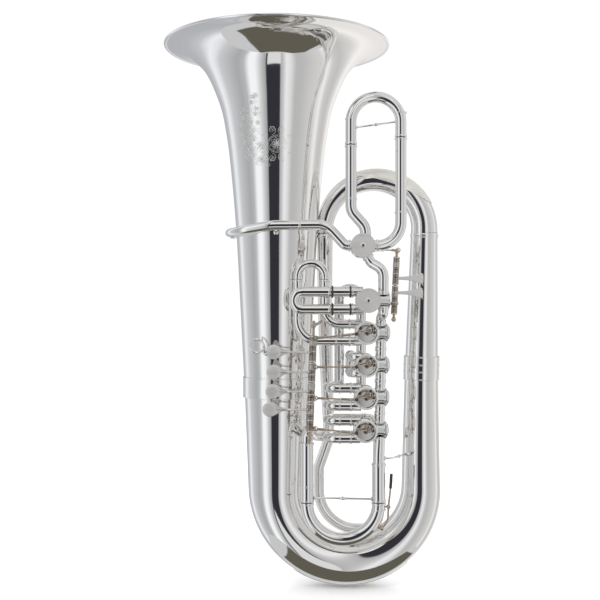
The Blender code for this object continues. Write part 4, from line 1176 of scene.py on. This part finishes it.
def card(name, centre, size, facing, color):
    """A flat panel of the tent."""
    bpy.ops.mesh.primitive_plane_add(size=1, location=centre)
    panel = bpy.context.object
    panel.name = name
    panel.scale = (size[0], size[1], 1)
    panel.rotation_mode = "QUATERNION"
    panel.rotation_quaternion = Vector(facing).to_track_quat("Z", "Y")
    made, _, _, emission = glow(name)
    fill(emission, Color=(*color, 1))
    panel.data.materials.append(made)
    only_reflected(panel)


def area(name, place, aim, size, power):
    data = bpy.data.lights.new(name, "AREA")
    data.shape = "RECTANGLE"
    data.size, data.size_y = size
    data.energy = power
    lamp = bpy.data.objects.new(name, data)
    lamp.location = place
    lamp.rotation_mode = "QUATERNION"
    lamp.rotation_quaternion = (Vector(aim) - Vector(place)).to_track_quat("-Z", "Y")
    bpy.context.scene.collection.objects.link(lamp)


def make_studio():
    world = bpy.data.worlds.new("studio")
    world.use_nodes = True
    fill(world.node_tree.nodes["Background"], Color=(1, 1, 1, 1), Strength=1.04)
    bpy.context.scene.world = world
    bpy.ops.mesh.primitive_plane_add(size=40, location=(0, 0, -0.0005))
    floor = bpy.context.object
    floor.name = "floor"
    pale, nodes, _ = material("floor")
    shade = (0.985, 0.985, 0.985, 1)
    fill(nodes["Principled BSDF"], Base_Color=shade, Roughness=0.9, Specular_IOR_Level=0.1)
    floor.data.materials.append(pale)
    floor.visible_glossy = False
    make_wall()
    card("tent_roof", (0, 0, 2.3), (3.9, 3.9), (0, 0, -1), (0.66, 0.665, 0.67))
    card("tent_base", (0, 0, -1.6), (3.9, 3.9), UP, (0.6, 0.605, 0.62))
    card("tent_mat", (0.28, -0.5, -1.59), (2.75, 2.4), UP, (0.118, 0.11, 0.086))
    card("tent_foot", (-0.26, -1.86, -1.06), (0.98, 1.08), (0, 1, 0), (0.74, 0.74, 0.75))
    card("tent_head", (-0.26, -1.86, 1.83), (0.98, 1.06), (0, 1, 0), (0.88, 0.88, 0.87))
    area("key", (-1.6, -2.2, 2.6), (0, 0, 0.5), (1.4, 1.8), 35)
    area("fill", (2.2, -1.6, 1.6), (0, 0, 0.5), (1.2, 1.6), 16)
    area("back", (0.6, 2.2, 2.4), (0, 0, 0.6), (1.8, 1.2), 22)
    camera = bpy.data.objects.new("camera", bpy.data.cameras.new("camera"))
    camera.data.lens = 57.1
    camera.data.sensor_width = 36
    camera.location = (-0.005, -1.783, 0.534)
    camera.rotation_euler = (radians(90), 0, 0)
    bpy.context.scene.collection.objects.link(camera)
    bpy.context.scene.camera = camera
    bpy.context.scene.view_settings.view_transform = "Standard"


make_bell()
make_engraving()
make_bow()
make_top()
make_main_valves()
make_side_valves()
make_line()
make_main_slide()
make_leadpipe()
make_levers()
make_fittings()
make_studio()
